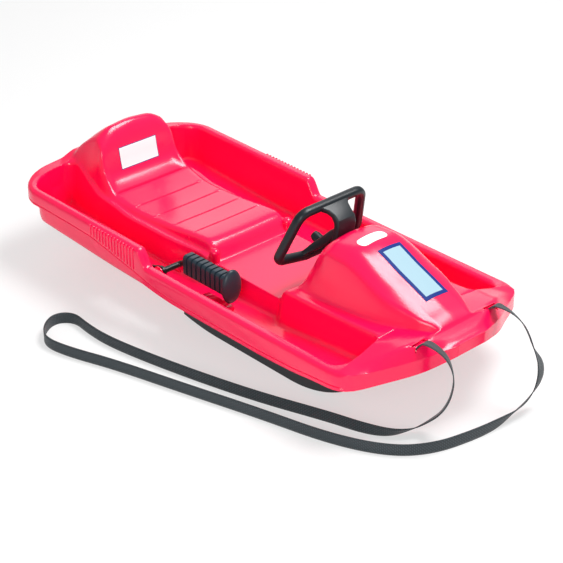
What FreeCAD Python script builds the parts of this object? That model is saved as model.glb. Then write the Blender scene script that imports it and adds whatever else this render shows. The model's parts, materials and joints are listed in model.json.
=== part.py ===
import FreeCAD, Part
import math
import os

# Steering sled, millimetres. X points forward, Y to the rider's left, Z up.
# The origin lies on the ground under the middle of the hull.

V = FreeCAD.Vector

# Overall size of the moulded hull
LENGTH = 1122.0
STERN_BEAM = 508.0
BOW_TAPER = 10.0
BOW_BEAM = STERN_BEAM - BOW_TAPER
WALL = 4.0
REAR = -LENGTH / 2
NOSE = LENGTH / 2
CUT_LOW = -30.0
CUT_HIGH = 420.0
CUT_SIDE = STERN_BEAM

# Front edge of the seat, measured from the middle of the hull; what lies beside it is placed from it
SEAT_FRONT_X = -67.0

# Plan outline of the rim
STERN_RADIUS = 58.0
BOW_CORNER_X = NOSE - 95.0
BOW_RADIUS = 52.0
BOW_CHEEK_X = NOSE - 48.0
BOW_CHEEK_Y = 165.0
BOW_SHOULDER_X = NOSE - 18.0
BOW_SHOULDER_Y = 110.0
BOW_TIP_Y = 40.0
RIM_WIDTH = 24.0

# Heights of the rim and of the lower edge of its lip, along the hull
STERN_RIM_Z = 184.0
STERN_CROWN_Z = 203.0
HIGH_RIM_Z = 181.0
LOW_RIM_Z = 145.0
BOW_RIM_Z = 147.0
RIM_STEP_X = SEAT_FRONT_X - 66.0
RIM_STEP_RUN = 30.0
LIP_REAR_Z = 154.0
LIP_STEP_Z = 148.0
LIP_STEP_RUN = 36.0
LIP_DROP_Z = 121.0
LIP_SEAT_Z = 108.0
LIP_SIDE_Z = 99.0
LIP_SIDE_START_X = SEAT_FRONT_X + 57.0
LIP_SIDE_END_X = NOSE - 311.0
LIP_CORNER_Z = 110.0
LIP_NOSE_Z = 146.0

# Upright ribs on the outside of the rim, beside the seat
RIB_FIRST_X = RIM_STEP_X - 150.0
RIB_PITCH = 10.0
RIB_COUNT = 15
RIB_WIDTH = 5.0
RIB_PROUD = 2.0
RIB_MARGIN = 4.0

# Side channels that hold the legs and feet
CHANNEL_REAR_X = REAR + 26.0
CHANNEL_FRONT_X = NOSE - 115.0
CHANNEL_RADIUS = 26.0
CHANNEL_BREAK_Z = 112.0
CHANNEL_FLOOR_Z = 85.0
CHANNEL_TOE_X = NOSE - 411.0
CHANNEL_TOE_Z = 111.0
CHANNEL_DRAFT_Z = 70.0
CHANNEL_FLARE = 6.0
CHANNEL_INNER_DRAFT = 9.0
CHANNEL_END_DRAFT = 20.0

# Seat, backrest and the low floor in front of the seat
SEAT_HALF = 108.0
SEAT_BORDER = 16.0
SEAT_STEP = 22.0
SEAT_REAR_STEP = 6.0
SEAT_REAR_X = REAR + 170.0
SEAT_LOW_X = REAR + 250.0
SEAT_FACE_RUN = 36.0
SEAT_REAR_Z = 160.0
SEAT_LOW_Z = 149.0
SEAT_FRONT_Z = 165.0
BACKREST_HALF = 90.0
BACKREST_EDGE = 108.0
BACKREST_TOP_X = REAR + 99.0
BACKREST_TOP_Z = 288.0
BACKREST_FACE_Z = 246.0
BACKREST_FOOT_Z = 190.0
GROOVE_FIRST_X = SEAT_REAR_X
GROOVE_COUNT = 5
GROOVE_PITCH = (SEAT_FRONT_X - SEAT_REAR_X - 4.0) / GROOVE_COUNT
GROOVE_WIDTH = 3.0
GROOVE_DEPTH = 1.6
FLOOR_Z = 122.0
FLOOR_HALF = 104.0
FLOOR_END_X = NOSE - 425.0

# Console that carries the steering column, and the front deck
CONSOLE_TOP_Z = 284.0
CONSOLE_TOP_X = NOSE - 290.0
CONSOLE_SHOULDER_Z = 262.0
CONSOLE_HALF = 48.0
CONSOLE_TOE_X = NOSE - 40.0
CONSOLE_TOE_HALF = 46.0
CONSOLE_TOE_STEP = 7.0
DECK_HALF = 85.0
CONSOLE_CREST_HALF = 74.0
CONSOLE_FOOT_HALF = 98.0
LEDGE_REAR_Z = 158.0
LEDGE_FRONT_Z = 186.0
LEDGE_HALF = 122.0
DECK_Z = 188.0
DECK_EDGE_Z = 176.0

# Shelf beside the brake, on both sides
SHELF_Z = 97.0
SHELF_REAR_X = SEAT_FRONT_X + 53.0
SHELF_LENGTH = 100.0
SHELF_WIDTH = 68.0
SHELF_HOLE_INSET = 44.0
SHELF_HOLE_RADIUS = 18.0

# Keels under the seat, on which the rear of the hull stands
KEEL_REAR_X = REAR + 86.0
KEEL_Y = 94.0
KEEL_WIDTH = 24.0
BELLY_HALF = 136.0

# Running and fitting clearances
SHAFT_GAP = 0.05
PART_GAP = 0.3

# Steering column and wheel: the column rises towards the rider
COLUMN_TILT = 20.0
COLUMN_X = NOSE - 415.5
COLUMN_Z = 222.0
COLUMN_RADIUS = 7.0
BUSH_WALL = 3.0
BUSH_FLANGE = 4.0
BUSH_FLANGE_THICK = 2.0
COLLAR_START = 44.0
COLLAR_LENGTH = 26.0
COLLAR_WALL = 9.0
WEB_START = 80.0
WEB_THICK = 10.0
WEB_HALF = 70.0
WEB_DROP = 25.0
WHEEL_TOP = 104.0
WHEEL_TOP_HALF = 83.0
WHEEL_LOW = 12.0
WHEEL_LOW_HALF = 112.0
WHEEL_FOOT = 34.0
WHEEL_FOOT_HALF = 26.0
WHEEL_BAR_RADIUS = 10.0
WHEEL_PANEL_THICK = 9.0
WHEEL_NECK_HALF = 26.0
WHEEL_NECK_FLARE = 22.0
WHEEL_GUSSET_TOP = 6.0
WHEEL_GUSSET_SHARE = 0.42
WHEEL_HUB_RADIUS = 24.0
WHEEL_HUB_BACK = 10.0
WHEEL_SCREW_RADIUS = 4.0
WHEEL_SCREW_HEAD = 9.0
WHEEL_SCREW_HEAD_THICK = 5.0
WHEEL_SCREW_DEPTH = 18.0
CRANK_RADIUS = 38.0
CRANK_THICK = 6.0
CRANK_HUB_RADIUS = 14.0
CRANK_TIP_RADIUS = 10.0
CRANK_PIN_RADIUS = 5.0
CRANK_PIN_LENGTH = 46.0
CRANK_NUT_FLATS = 24.0
CRANK_NUT_THICK = 8.0
COLUMN_END_SPARE = 3.0

# Steering carriage: two runners joined by two cross bars, turning on a kingpin
RUNNER_Y = 152.0
RUNNER_WIDTH = 24.0
RUNNER_HEIGHT = 26.0
KINGPIN_X = NOSE - 256.0
FRONT_BAR_X = KINGPIN_X - 79.0
REAR_BAR_X = FRONT_BAR_X - 196.0
RUNNER_REAR_X = REAR_BAR_X - 119.0
RUNNER_FLAT_START_X = REAR_BAR_X - 10.0
RUNNER_FLAT_END_X = FRONT_BAR_X + 14.0
RUNNER_TIP_X = RUNNER_FLAT_END_X + 144.0
RUNNER_TIP_Z = 56.0
RUNNER_TIP_THICK = 14.0
RUNNER_HEEL = 11.0
BAR_THICK = 4.0
BAR_OVERHANG = 9.0
FRONT_BAR_WIDTH = 60.0
REAR_BAR_WIDTH = 40.0
KINGPIN_RADIUS = 6.0
KINGPIN_HEAD_FLATS = 19.0
KINGPIN_HEAD_THICK = 8.0
KINGPIN_NUT_THICK = 10.0
KINGPIN_WASHER_RADIUS = 16.0
KINGPIN_WASHER_THICK = 1.5
PIVOT_BOSS_RADIUS = 24.0
PIVOT_PLATE_Z = 46.0
PIVOT_PLATE_THICK = 7.0
PIVOT_PLATE_LENGTH = 64.0
PIVOT_PLATE_HALF = 62.0
TONGUE_HALF = 28.0
YOKE_LENGTH = 34.0
YOKE_HALF = 22.0
YOKE_THICK = 5.0
YOKE_TOP_ABOVE_PIN = 22.0
YOKE_SLOT_HALF = 6.4
YOKE_SLOT_BELOW = 11.0
YOKE_SLOT_ABOVE = 14.0
SCREW_RADIUS = 3.0
SCREW_HEAD_RADIUS = 6.5
SCREW_HEAD_THICK = 4.0
SCREW_DEPTH = 16.0
YOKE_NUT_FLATS = 10.0
YOKE_NUT_THICK = 5.0
RUNNER_SWING_GAP = 46.0
KEEL_FRONT_X = RUNNER_REAR_X - RUNNER_SWING_GAP

# Hand brake on the rider's right
BRAKE_X = SEAT_FRONT_X - 28.0
BRAKE_Z = 130.0
BRAKE_ROD_RADIUS = 6.5
BRAKE_GRIP_Y = -165.0
BRAKE_BEND = 10.0
BRAKE_ARM = 23.0
BRAKE_ARM_RISE = 12.0
BRAKE_ARM_BEND = 14.0
BRAKE_ROD_OUTER_GAP = 3.0
BRAKE_BOSS_WALL = 3.0
BRAKE_BOSS_LENGTH = 12.0
BRAKE_CLIP_THICK = 1.2
BRAKE_CLIP_RADIUS = 10.0
GRIP_REAR_GAP = 4.0
GRIP_LENGTH = 131.0
GRIP_WIDTH = 30.0
GRIP_HEIGHT = 46.0
GRIP_GROOVE = 3.0
GRIP_RIB_COUNT = 9
GRIP_RIB_SHARE = 0.62
GUARD_THICK = 14.0
GUARD_WIDTH = 48.0
GUARD_HEIGHT = 76.0
GUARD_CORNER = 16.0
GRIP_END_WALL = 5.0
CLAW_Y = -214.0
CLAW_THICK = 6.0
CLAW_LENGTH = 146.0
CLAW_WIDTH = 24.0
CLAW_TIP_WIDTH = 7.0
CLAW_REST_ANGLE = 75.0
CLAW_SLOT_GAP = 4.0
CLAW_SLOT_REACH = 160.0

# Tow strap, flat webbing on edge on the ground, with a stop bar at each end
STRAP_WIDTH = 25.0
STRAP_THICK = 2.0
STRAP_SLOT_X = NOSE - 42.0
STRAP_SLOT_Y = 99.0
STRAP_SLOT_LENGTH = 34.0
STRAP_SLOT_WIDTH = 12.0
STRAP_BEND_RADIUS = 38.0
STRAP_OVER_Z = 193.0
LEFT_HANG_X = NOSE + 79.0
RIGHT_HANG_X = NOSE + 19.0
STRAP_LEAD = 66.0
STOP_LENGTH = 46.0
STOP_WIDTH = 18.0
STOP_HEIGHT = 8.0
STOP_PAD_Z = 168.0
STOP_PAD_MARGIN = 3.0

# Blank labels
LABEL_THICK = 0.8
LABEL_FILM = 0.1
CONSOLE_LABEL_X = NOSE - 166.0
CONSOLE_LABEL_LENGTH = 132.0
CONSOLE_LABEL_WIDTH = 62.0
CONSOLE_LABEL_Y = 10.0
SMALL_LABEL_X = NOSE - 267.0
SMALL_LABEL_LENGTH = 26.0
SMALL_LABEL_WIDTH = 72.0
BACK_LABEL_Z = 215.0
BACK_LABEL_WIDTH = 106.0
BACK_LABEL_HEIGHT = 50.0

# Ground route of the tow strap, from the left drop round the loop to the right drop
STRAP_ROUTE = [
    (LEFT_HANG_X, STRAP_SLOT_Y - STRAP_BEND_RADIUS),
    (LEFT_HANG_X, -10.0),
    (NOSE + 67.0, -85.0),
    (NOSE + 43.0, -158.0),
    (NOSE - 11.0, -214.0),
    (NOSE - 111.0, -262.0),
    (NOSE - 264.0, -301.0),
    (NOSE - 432.0, -351.0),
    (NOSE - 591.0, -396.0),
    (NOSE - 691.0, -434.0),
    (NOSE - 757.0, -447.0),
    (NOSE - 799.0, -418.0),
    (NOSE - 819.0, -376.0),
    (NOSE - 793.0, -343.0),
    (NOSE - 739.0, -350.0),
    (NOSE - 671.0, -350.0),
    (NOSE - 561.0, -330.0),
    (NOSE - 431.0, -299.0),
    (NOSE - 301.0, -262.0),
    (NOSE - 166.0, -212.0),
    (NOSE - 71.0, -195.0),
    (NOSE - 11.0, -184.0),
    (RIGHT_HANG_X, -163.0),
    (RIGHT_HANG_X, -STRAP_SLOT_Y - STRAP_BEND_RADIUS),
]


def along(line, x):
    """Height or half width at x on a line of (x, value) points."""
    if x <= line[0][0]:
        return line[0][1]
    for (x0, v0), (x1, v1) in zip(line, line[1:]):
        if x <= x1:
            return v0 + (v1 - v0) * (x - x0) / (x1 - x0)
    return line[-1][1]


def box(x0, x1, y0, y1, z0, z1):
    return Part.makeBox(x1 - x0, y1 - y0, z1 - z0, V(x0, y0, z0))


def rod(radius, start, direction, length):
    return Part.makeCylinder(radius, length, start, direction)


def hexagon(flats, height, base, direction=V(0, 0, 1)):
    """Hexagonal prism, as a nut or a bolt head."""
    radius = flats / math.sqrt(3)
    points = [V(radius * math.cos(math.radians(60 * i)), radius * math.sin(math.radians(60 * i)), 0)
              for i in range(7)]
    prism = Part.Face(Part.makePolygon(points)).extrude(V(0, 0, height))
    prism.Placement = FreeCAD.Placement(base, FreeCAD.Rotation(V(0, 0, 1), direction))
    return prism


def mirrored(shape):
    return shape.mirror(V(0, 0, 0), V(0, 1, 0))


def both_sides(shape):
    return [shape, mirrored(shape)]


def rounded_wire(points, radii, closed=True):
    """Straight runs joined by tangent arcs at the points."""
    count = len(points)
    corners = []
    for i, point in enumerate(points):
        end = not closed and i in (0, count - 1)
        if end or radii[i] <= 0:
            corners.append((point, None, point))
            continue
        back = (points[i - 1] - point).normalize()
        ahead = (points[(i + 1) % count] - point).normalize()
        half = back.getAngle(ahead) / 2
        reach = radii[i] / math.tan(half)
        middle = (back + ahead).normalize()
        centre = point + middle * (radii[i] / math.sin(half))
        corners.append((point + back * reach, centre - middle * radii[i], point + ahead * reach))
    edges = []
    for i, (start, mid, end) in enumerate(corners):
        if mid is not None:
            edges.append(Part.Arc(start, mid, end).toShape())
        if closed or i < count - 1:
            following = corners[(i + 1) % count][0]
            if (following - end).Length > 1e-6:
                edges.append(Part.LineSegment(end, following).toShape())
    return Part.Wire(edges)


def prism(wire, vector):
    return Part.Face(wire).extrude(vector)


def fused(shapes):
    result = shapes[0].multiFuse(shapes[1:]) if len(shapes) > 1 else shapes[0]
    return result.removeSplitter()


# Lines along the hull

RIM_LINE = [
    (REAR, STERN_RIM_Z),
    (RIM_STEP_X, HIGH_RIM_Z),
    (RIM_STEP_X + RIM_STEP_RUN, LOW_RIM_Z),
    (BOW_CORNER_X, BOW_RIM_Z),
    (NOSE, BOW_RIM_Z),
]
LIP_LINE = [
    (REAR, LIP_REAR_Z),
    (RIB_FIRST_X - RIB_PITCH, LIP_STEP_Z),
    (RIB_FIRST_X - RIB_PITCH + LIP_STEP_RUN, LIP_DROP_Z),
    (RIM_STEP_X, LIP_SEAT_Z),
    (LIP_SIDE_START_X, LIP_SIDE_Z),
    (LIP_SIDE_END_X, LIP_SIDE_Z),
    (BOW_CORNER_X, LIP_CORNER_Z),
    (BOW_CHEEK_X, LIP_CORNER_Z + (LIP_NOSE_Z - LIP_CORNER_Z) * 0.2),
    (BOW_SHOULDER_X, LIP_CORNER_Z + (LIP_NOSE_Z - LIP_CORNER_Z) * 0.6),
    (NOSE, LIP_NOSE_Z),
]
EDGE_LINE = [
    (REAR, BACKREST_EDGE),
    (SEAT_REAR_X, SEAT_HALF + SEAT_BORDER),
    (SEAT_FRONT_X, SEAT_HALF + SEAT_BORDER - 6),
    (SEAT_FRONT_X + SEAT_FACE_RUN, FLOOR_HALF + 2),
    (FLOOR_END_X, FLOOR_HALF),
    (FLOOR_END_X + 40, LEDGE_HALF),
    (CHANNEL_FRONT_X, LEDGE_HALF + 6),
    (NOSE, LEDGE_HALF + 6),
]


def edge_at(x):
    return along(EDGE_LINE, x)


def rim_at(x):
    return along(RIM_LINE, x)


def station(x, lean, centre_z, panel, crest, foot, edge_z):
    """One cross section of the moulded top: centre, panel, crest, foot and channel edge.

    lean is -1 or 1 where the surface faces the rear or the front, so that the wall keeps its
    thickness there.
    """
    return x, lean, [(0, centre_z), panel, crest, foot, (edge_at(x), edge_z)]


def flat_station(x, lean, z, half, edge_z=None):
    inner = half * 0.6
    return station(x, lean, z, (inner, z), (half * 0.85, z), (half, z), z if edge_z is None else edge_z)


def hump_station(x, lean, z, foot_z):
    """Crowned cross section of the backrest hump, standing on foot_z."""
    rise = z - foot_z
    return station(x, lean, z, (BACKREST_HALF * 0.66, z - rise * 0.06), (BACKREST_HALF, z - rise * 0.25),
                   (edge_at(x) - 5, foot_z), foot_z - 6)


def seat_station(x, lean, z):
    """Cross section of the seat, whose border lies deeper towards the front."""
    half = edge_at(x) - SEAT_BORDER
    step = along([(SEAT_REAR_X, SEAT_REAR_STEP), (SEAT_FRONT_X, SEAT_STEP)], x)
    border_z = z - step
    return station(x, lean, z, (half * 0.9, z + 1), (half, z - 3), (half + 5, border_z), border_z)


def console_station(x, lean, top_z, half, crest, foot):
    """Cross section of the console: crowned panel, shoulder crest and steep flank."""
    share = (x - FLOOR_END_X) / (CONSOLE_TOE_X - FLOOR_END_X)
    ledge_z = LEDGE_REAR_Z + (LEDGE_FRONT_Z - LEDGE_REAR_Z) * share
    crest_half, crest_z = crest
    return station(x, lean, top_z, (half, top_z - 0.12 * (top_z - ledge_z)), (crest_half, crest_z),
                   (foot, ledge_z), ledge_z)


def top_stations():
    face_x = BACKREST_TOP_X + 11
    crown_drop = CONSOLE_TOP_Z - DECK_Z
    return [
        flat_station(REAR - 20, 0, STERN_CROWN_Z, BACKREST_HALF, STERN_CROWN_Z - 5),
        hump_station(REAR + 14, 1, STERN_CROWN_Z + 7, STERN_CROWN_Z - 4),
        hump_station(REAR + 31, 1, STERN_CROWN_Z + 30, STERN_CROWN_Z - 3),
        hump_station(REAR + 52, 1, BACKREST_TOP_Z - 33, STERN_CROWN_Z - 3),
        hump_station(REAR + 78, 1, BACKREST_TOP_Z - 10, STERN_RIM_Z + 6),
        hump_station(BACKREST_TOP_X, 0, BACKREST_TOP_Z, STERN_RIM_Z - 8),
        hump_station(face_x, -1, BACKREST_TOP_Z - 10, STERN_RIM_Z - 12),
        hump_station(face_x + 13, -1, BACKREST_FACE_Z, STERN_RIM_Z - 20),
        hump_station(face_x + 25, -1, BACKREST_FOOT_Z, STERN_RIM_Z - 26),
        seat_station(SEAT_REAR_X - 16, -1, SEAT_REAR_Z + 9),
        seat_station(SEAT_REAR_X + 10, -1, SEAT_REAR_Z - 4),
        seat_station(SEAT_LOW_X, 0, SEAT_LOW_Z),
        seat_station(SEAT_FRONT_X - 12, 0, SEAT_FRONT_Z),
        seat_station(SEAT_FRONT_X, -1, SEAT_FRONT_Z - 5),
        flat_station(SEAT_FRONT_X + SEAT_FACE_RUN, -1, FLOOR_Z + 4, FLOOR_HALF - 4),
        flat_station(FLOOR_END_X, 1, FLOOR_Z, FLOOR_HALF - 2),
        console_station(FLOOR_END_X + 42, 1, LEDGE_REAR_Z + 3, 40, (76, LEDGE_REAR_Z + 2), 92),
        console_station(FLOOR_END_X + 64, 1, CONSOLE_TOP_Z - 58, 38, (60, LEDGE_REAR_Z + 45), CONSOLE_FOOT_HALF),
        console_station(FLOOR_END_X + 84, 1, CONSOLE_SHOULDER_Z, 42, (64, 226), CONSOLE_FOOT_HALF),
        console_station(CONSOLE_TOP_X - 18, 0, CONSOLE_TOP_Z - 2, CONSOLE_HALF, (68, 240), CONSOLE_FOOT_HALF),
        console_station(CONSOLE_TOP_X + 20, 0, CONSOLE_TOP_Z, CONSOLE_HALF, (72, 237), CONSOLE_FOOT_HALF),
        console_station(CONSOLE_TOP_X + 125, -1, DECK_Z + crown_drop * 0.61, CONSOLE_HALF + 2,
                        (CONSOLE_CREST_HALF + 4, 214), CONSOLE_FOOT_HALF - 6),
        console_station(CONSOLE_TOP_X + 205, -1, DECK_Z + crown_drop * 0.26, CONSOLE_HALF - 2,
                        (CONSOLE_CREST_HALF - 14, 202), CONSOLE_FOOT_HALF - 30),
        console_station(CONSOLE_TOE_X - 3, -1, DECK_Z + CONSOLE_TOE_STEP, CONSOLE_TOE_HALF - 6,
                        (CONSOLE_TOE_HALF, DECK_Z + CONSOLE_TOE_STEP * 0.6), CONSOLE_TOE_HALF + 5),
        flat_station(CONSOLE_TOE_X + 3, -1, DECK_Z, DECK_HALF, LEDGE_FRONT_Z - 2),
        flat_station(NOSE - 4, 0, DECK_EDGE_Z, DECK_HALF, DECK_EDGE_Z - 3),
        flat_station(NOSE + 20, 0, DECK_EDGE_Z, DECK_HALF, DECK_EDGE_Z - 3),
    ]


def section_wire(x, half_profile):
    """Closed wire of a mirrored half profile, carried down below the hull."""
    top = [V(x, -y, z) for y, z in reversed(half_profile)] + [V(x, y, z) for y, z in half_profile[1:]]
    points = [V(x, -CUT_SIDE, CUT_LOW)] + top + [V(x, CUT_SIDE, CUT_LOW)]
    return Part.makePolygon(points + points[:1])


def under_top(drop, forward=0.0):
    """Everything below the moulded top surface, set in by drop."""
    wires = []
    for x, lean, half_profile in top_stations():
        rim_z = rim_at(x)
        inset = [(max(y - drop, 0) if y else 0, z - drop) for y, z in half_profile]
        rim_half = BOW_BEAM / 2 - RIM_WIDTH
        profile = inset + [(rim_half, rim_z - drop), (CUT_SIDE, rim_z - drop)]
        wires.append(section_wire(x + lean * drop + forward, profile))
    return Part.makeLoft(wires, True, True)


def plan_outline(inset, z):
    """Outline of the rim, seen from above."""
    rear = REAR + inset
    nose = NOSE - inset
    stern_half = STERN_BEAM / 2 - inset
    bow_half = BOW_BEAM / 2 - inset
    corner_x = BOW_CORNER_X
    half = [
        (V(rear, stern_half, z), STERN_RADIUS - inset),
        (V(corner_x, bow_half, z), BOW_RADIUS - inset),
        (V(BOW_CHEEK_X - inset, BOW_CHEEK_Y - inset / 2, z), 80),
        (V(BOW_SHOULDER_X - inset, BOW_SHOULDER_Y - inset / 3, z), 120),
        (V(nose, BOW_TIP_Y, z), 150),
    ]
    other = [(V(p.x, -p.y, p.z), r) for p, r in reversed(half)]
    points = [p for p, r in half + other]
    radii = [r for p, r in half + other]
    return rounded_wire(points, radii)


def above_lip():
    """Everything above the lower edge of the lip."""
    wires = []
    xs = [REAR - 20] + [x for x, z in LIP_LINE[1:]] + [NOSE + 20]
    for x in xs:
        z = along(LIP_LINE, x)
        points = [V(x, -CUT_SIDE, z), V(x, CUT_SIDE, z), V(x, CUT_SIDE, CUT_HIGH), V(x, -CUT_SIDE, CUT_HIGH)]
        wires.append(Part.makePolygon(points + points[:1]))
    return Part.makeLoft(wires, True, True)


CHANNEL_FLOOR_LINE = [
    (CHANNEL_REAR_X, CHANNEL_FLOOR_Z),
    (CHANNEL_TOE_X, CHANNEL_FLOOR_Z),
    (CHANNEL_FRONT_X, CHANNEL_TOE_Z),
]


def channel_floor_at(x):
    return along(CHANNEL_FLOOR_LINE, x)


def above_floor(drop):
    """Everything above the channels' floor line, lowered by drop."""
    line = [(REAR - 20, CHANNEL_FLOOR_Z)] + CHANNEL_FLOOR_LINE[1:]
    line += [(NOSE + 20, CHANNEL_TOE_Z)]
    points = [V(x, -CUT_SIDE, z - drop) for x, z in line]
    points += [V(NOSE + 20, -CUT_SIDE, CUT_HIGH), V(REAR - 20, -CUT_SIDE, CUT_HIGH)]
    return prism(Part.makePolygon(points + points[:1]), V(0, 2 * CUT_SIDE, 0))


def channel_points(grow, flare, inner_draft, end_draft, z_of):
    """Corner points of the left channel; grow widens it, the drafts narrow it."""
    outer_stern = STERN_BEAM / 2 - RIM_WIDTH + 2
    outer_bow = BOW_BEAM / 2 - RIM_WIDTH - 3
    rear = CHANNEL_REAR_X - grow + end_draft
    front = CHANNEL_FRONT_X + grow - end_draft
    inner = [x for x, y in EDGE_LINE[1:-2]]
    plan = [(rear, outer_stern + grow - flare), (rear, edge_at(REAR) - grow + inner_draft)]
    plan += [(x, edge_at(x) - grow + inner_draft) for x in inner]
    plan += [(front, edge_at(front) - grow + inner_draft), (front, outer_bow + grow - flare)]
    return [V(x, y, z_of(x)) for x, y in plan]


def channel_radii(count, grow):
    end = CHANNEL_RADIUS + grow
    return [end + 20, end] + [0] * (count - 4) + [end - 6, end + 10]


def channel(grow):
    """Left channel: upright above the break, drafted below it down to the floor."""
    upper = channel_points(grow, 0, 0, 0, lambda x: CHANNEL_BREAK_Z)
    radii = channel_radii(len(upper), grow)
    top = prism(rounded_wire(upper, radii), V(0, 0, CUT_HIGH - CHANNEL_BREAK_Z))
    low = channel_points(grow, CHANNEL_FLARE, CHANNEL_INNER_DRAFT, CHANNEL_END_DRAFT, lambda x: CHANNEL_DRAFT_Z)
    lower = Part.makeLoft([rounded_wire(low, radii), rounded_wire(upper, radii)], True, True)
    return top.fuse(lower).common(above_floor(grow))


def along_column(distance):
    """Point on the column's axis, measured forward and down from the wheel."""
    tilt = math.radians(COLUMN_TILT)
    return V(COLUMN_X + distance * math.cos(tilt), 0, COLUMN_Z - distance * math.sin(tilt))


COLUMN_DIR = V(math.cos(math.radians(COLUMN_TILT)), 0, -math.sin(math.radians(COLUMN_TILT)))
COLUMN_PLACE = FreeCAD.Placement(V(COLUMN_X, 0, COLUMN_Z), FreeCAD.Rotation(V(0, 1, 0), 90 + COLUMN_TILT))
BUSH_RADIUS = COLUMN_RADIUS + SHAFT_GAP + BUSH_WALL
BRAKE_BUSH_RADIUS = BRAKE_ROD_RADIUS + SHAFT_GAP + BUSH_WALL
BRAKE_WALL_Y = -(STERN_BEAM / 2 - RIM_WIDTH + 2
                 + (BOW_BEAM - STERN_BEAM) / 2 * (BRAKE_X - REAR) / LENGTH - 2.5)
KINGPIN_WASHER_Z = RUNNER_HEIGHT + BAR_THICK + PART_GAP


def on_column(shape):
    """Put a shape drawn on the local Z axis onto the steering column."""
    shape.Placement = COLUMN_PLACE.multiply(shape.Placement)
    return shape


def make_hull():
    top = under_top(0)
    outline = prism(plan_outline(0, CUT_LOW), V(0, 0, CUT_HIGH - CUT_LOW))
    hollow_outline = prism(plan_outline(WALL, CUT_LOW), V(0, 0, CUT_HIGH - CUT_LOW))
    hollow = under_top(WALL).common(hollow_outline)
    skin = above_lip().common(top).common(outline).cut(hollow)
    inner = both_sides(channel(0))
    outer = [shape.common(top) for shape in both_sides(channel(WALL))]

    belly_z = CHANNEL_FLOOR_Z - WALL
    keel_end = KEEL_FRONT_X
    belly = box(KEEL_REAR_X, keel_end, -BELLY_HALF, BELLY_HALF, belly_z, belly_z + WALL)
    keels = []
    keel_hollows = []
    for side in (-1, 1):
        y0 = side * KEEL_Y - KEEL_WIDTH / 2
        y1 = y0 + KEEL_WIDTH
        keels.append(box(KEEL_REAR_X, keel_end, y0, y1, 0, belly_z + WALL))
        keel_hollows.append(box(KEEL_REAR_X + WALL, keel_end - WALL, y0 + WALL, y1 - WALL,
                                WALL, belly_z + 2 * WALL))
    belly_walls = []
    for x in (KEEL_REAR_X, keel_end - WALL):
        wall = box(x, x + WALL, -BELLY_HALF, BELLY_HALF, belly_z, CUT_HIGH)
        belly_walls.append(wall.common(top))

    plate_top = PIVOT_PLATE_Z + PIVOT_PLATE_THICK
    plate = box(KINGPIN_X - PIVOT_PLATE_LENGTH / 2, KINGPIN_X + PIVOT_PLATE_LENGTH / 2,
                -PIVOT_PLATE_HALF, PIVOT_PLATE_HALF, PIVOT_PLATE_Z, plate_top)
    tower = []
    for side in (-1, 1):
        y0 = side * (PIVOT_PLATE_HALF - WALL / 2) - WALL / 2
        wall = box(KINGPIN_X - PIVOT_PLATE_LENGTH / 2, KINGPIN_X + PIVOT_PLATE_LENGTH / 2, y0, y0 + WALL,
                   PIVOT_PLATE_Z, CUT_HIGH)
        tower.append(wall.common(top))
    boss_z = KINGPIN_WASHER_Z + KINGPIN_WASHER_THICK
    boss = rod(PIVOT_BOSS_RADIUS, V(KINGPIN_X, 0, boss_z), V(0, 0, 1), PIVOT_PLATE_Z - boss_z)
    collar = rod(BUSH_RADIUS + COLLAR_WALL, along_column(COLLAR_START), COLUMN_DIR, COLLAR_LENGTH)
    web = Part.makeBox(WEB_HALF * 2 + WEB_DROP, WEB_HALF * 2, WEB_THICK, V(-WEB_HALF * 2, -WEB_HALF, WEB_START))
    web = on_column(web).common(top)
    brake_boss = rod(BRAKE_BUSH_RADIUS + BRAKE_BOSS_WALL, V(BRAKE_X, BRAKE_WALL_Y, BRAKE_Z), V(0, -1, 0),
                     BRAKE_BOSS_LENGTH)

    pads = []
    for side in (-1, 1):
        pad = box(STRAP_SLOT_X - STOP_WIDTH / 2 - STOP_PAD_MARGIN, STRAP_SLOT_X + STOP_WIDTH / 2 + STOP_PAD_MARGIN,
                  side * STRAP_SLOT_Y - STOP_LENGTH / 2 - STOP_PAD_MARGIN,
                  side * STRAP_SLOT_Y + STOP_LENGTH / 2 + STOP_PAD_MARGIN, STOP_PAD_Z, CUT_HIGH)
        pads.append(pad.common(top).common(outline))
    rib_outline = prism(plan_outline(-RIB_PROUD, CUT_LOW), V(0, 0, CUT_HIGH - CUT_LOW))
    ribs = []
    for i in range(RIB_COUNT):
        x = RIB_FIRST_X + i * RIB_PITCH
        z0 = along(LIP_LINE, x) + RIB_MARGIN
        z1 = rim_at(x) - RIB_MARGIN
        rib = box(x - RIB_WIDTH / 2, x + RIB_WIDTH / 2, BOW_BEAM / 2 - RIM_WIDTH / 2, STERN_BEAM, z0, z1)
        ribs += both_sides(rib.common(rib_outline))

    channel_outer_y = BOW_BEAM / 2 - RIM_WIDTH
    shelf_y = channel_outer_y - SHELF_WIDTH
    shelf_end = SHELF_REAR_X + SHELF_LENGTH
    floor_z = CHANNEL_FLOOR_Z - WALL
    shelf = box(SHELF_REAR_X, shelf_end, shelf_y, channel_outer_y + WALL / 2, floor_z, SHELF_Z)
    shelf_hollow = box(SHELF_REAR_X + WALL, shelf_end - WALL, shelf_y + WALL, channel_outer_y - 2 * WALL,
                       floor_z - 1, SHELF_Z - WALL)
    shelf_hole = rod(SHELF_HOLE_RADIUS, V(SHELF_REAR_X + SHELF_LENGTH / 2, channel_outer_y - SHELF_HOLE_INSET,
                                          SHELF_Z - 2 * WALL), V(0, 0, 1), 3 * WALL)

    added = outer + [belly] + belly_walls + keels + [plate, boss, collar, web, brake_boss] + tower + pads + ribs
    hull = skin.multiFuse(added)
    for cavity in inner:
        hull = hull.cut(cavity)
    hull = hull.multiFuse(both_sides(shelf))
    for tool in keel_hollows + both_sides(shelf_hollow) + both_sides(shelf_hole):
        hull = hull.cut(tool)

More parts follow.
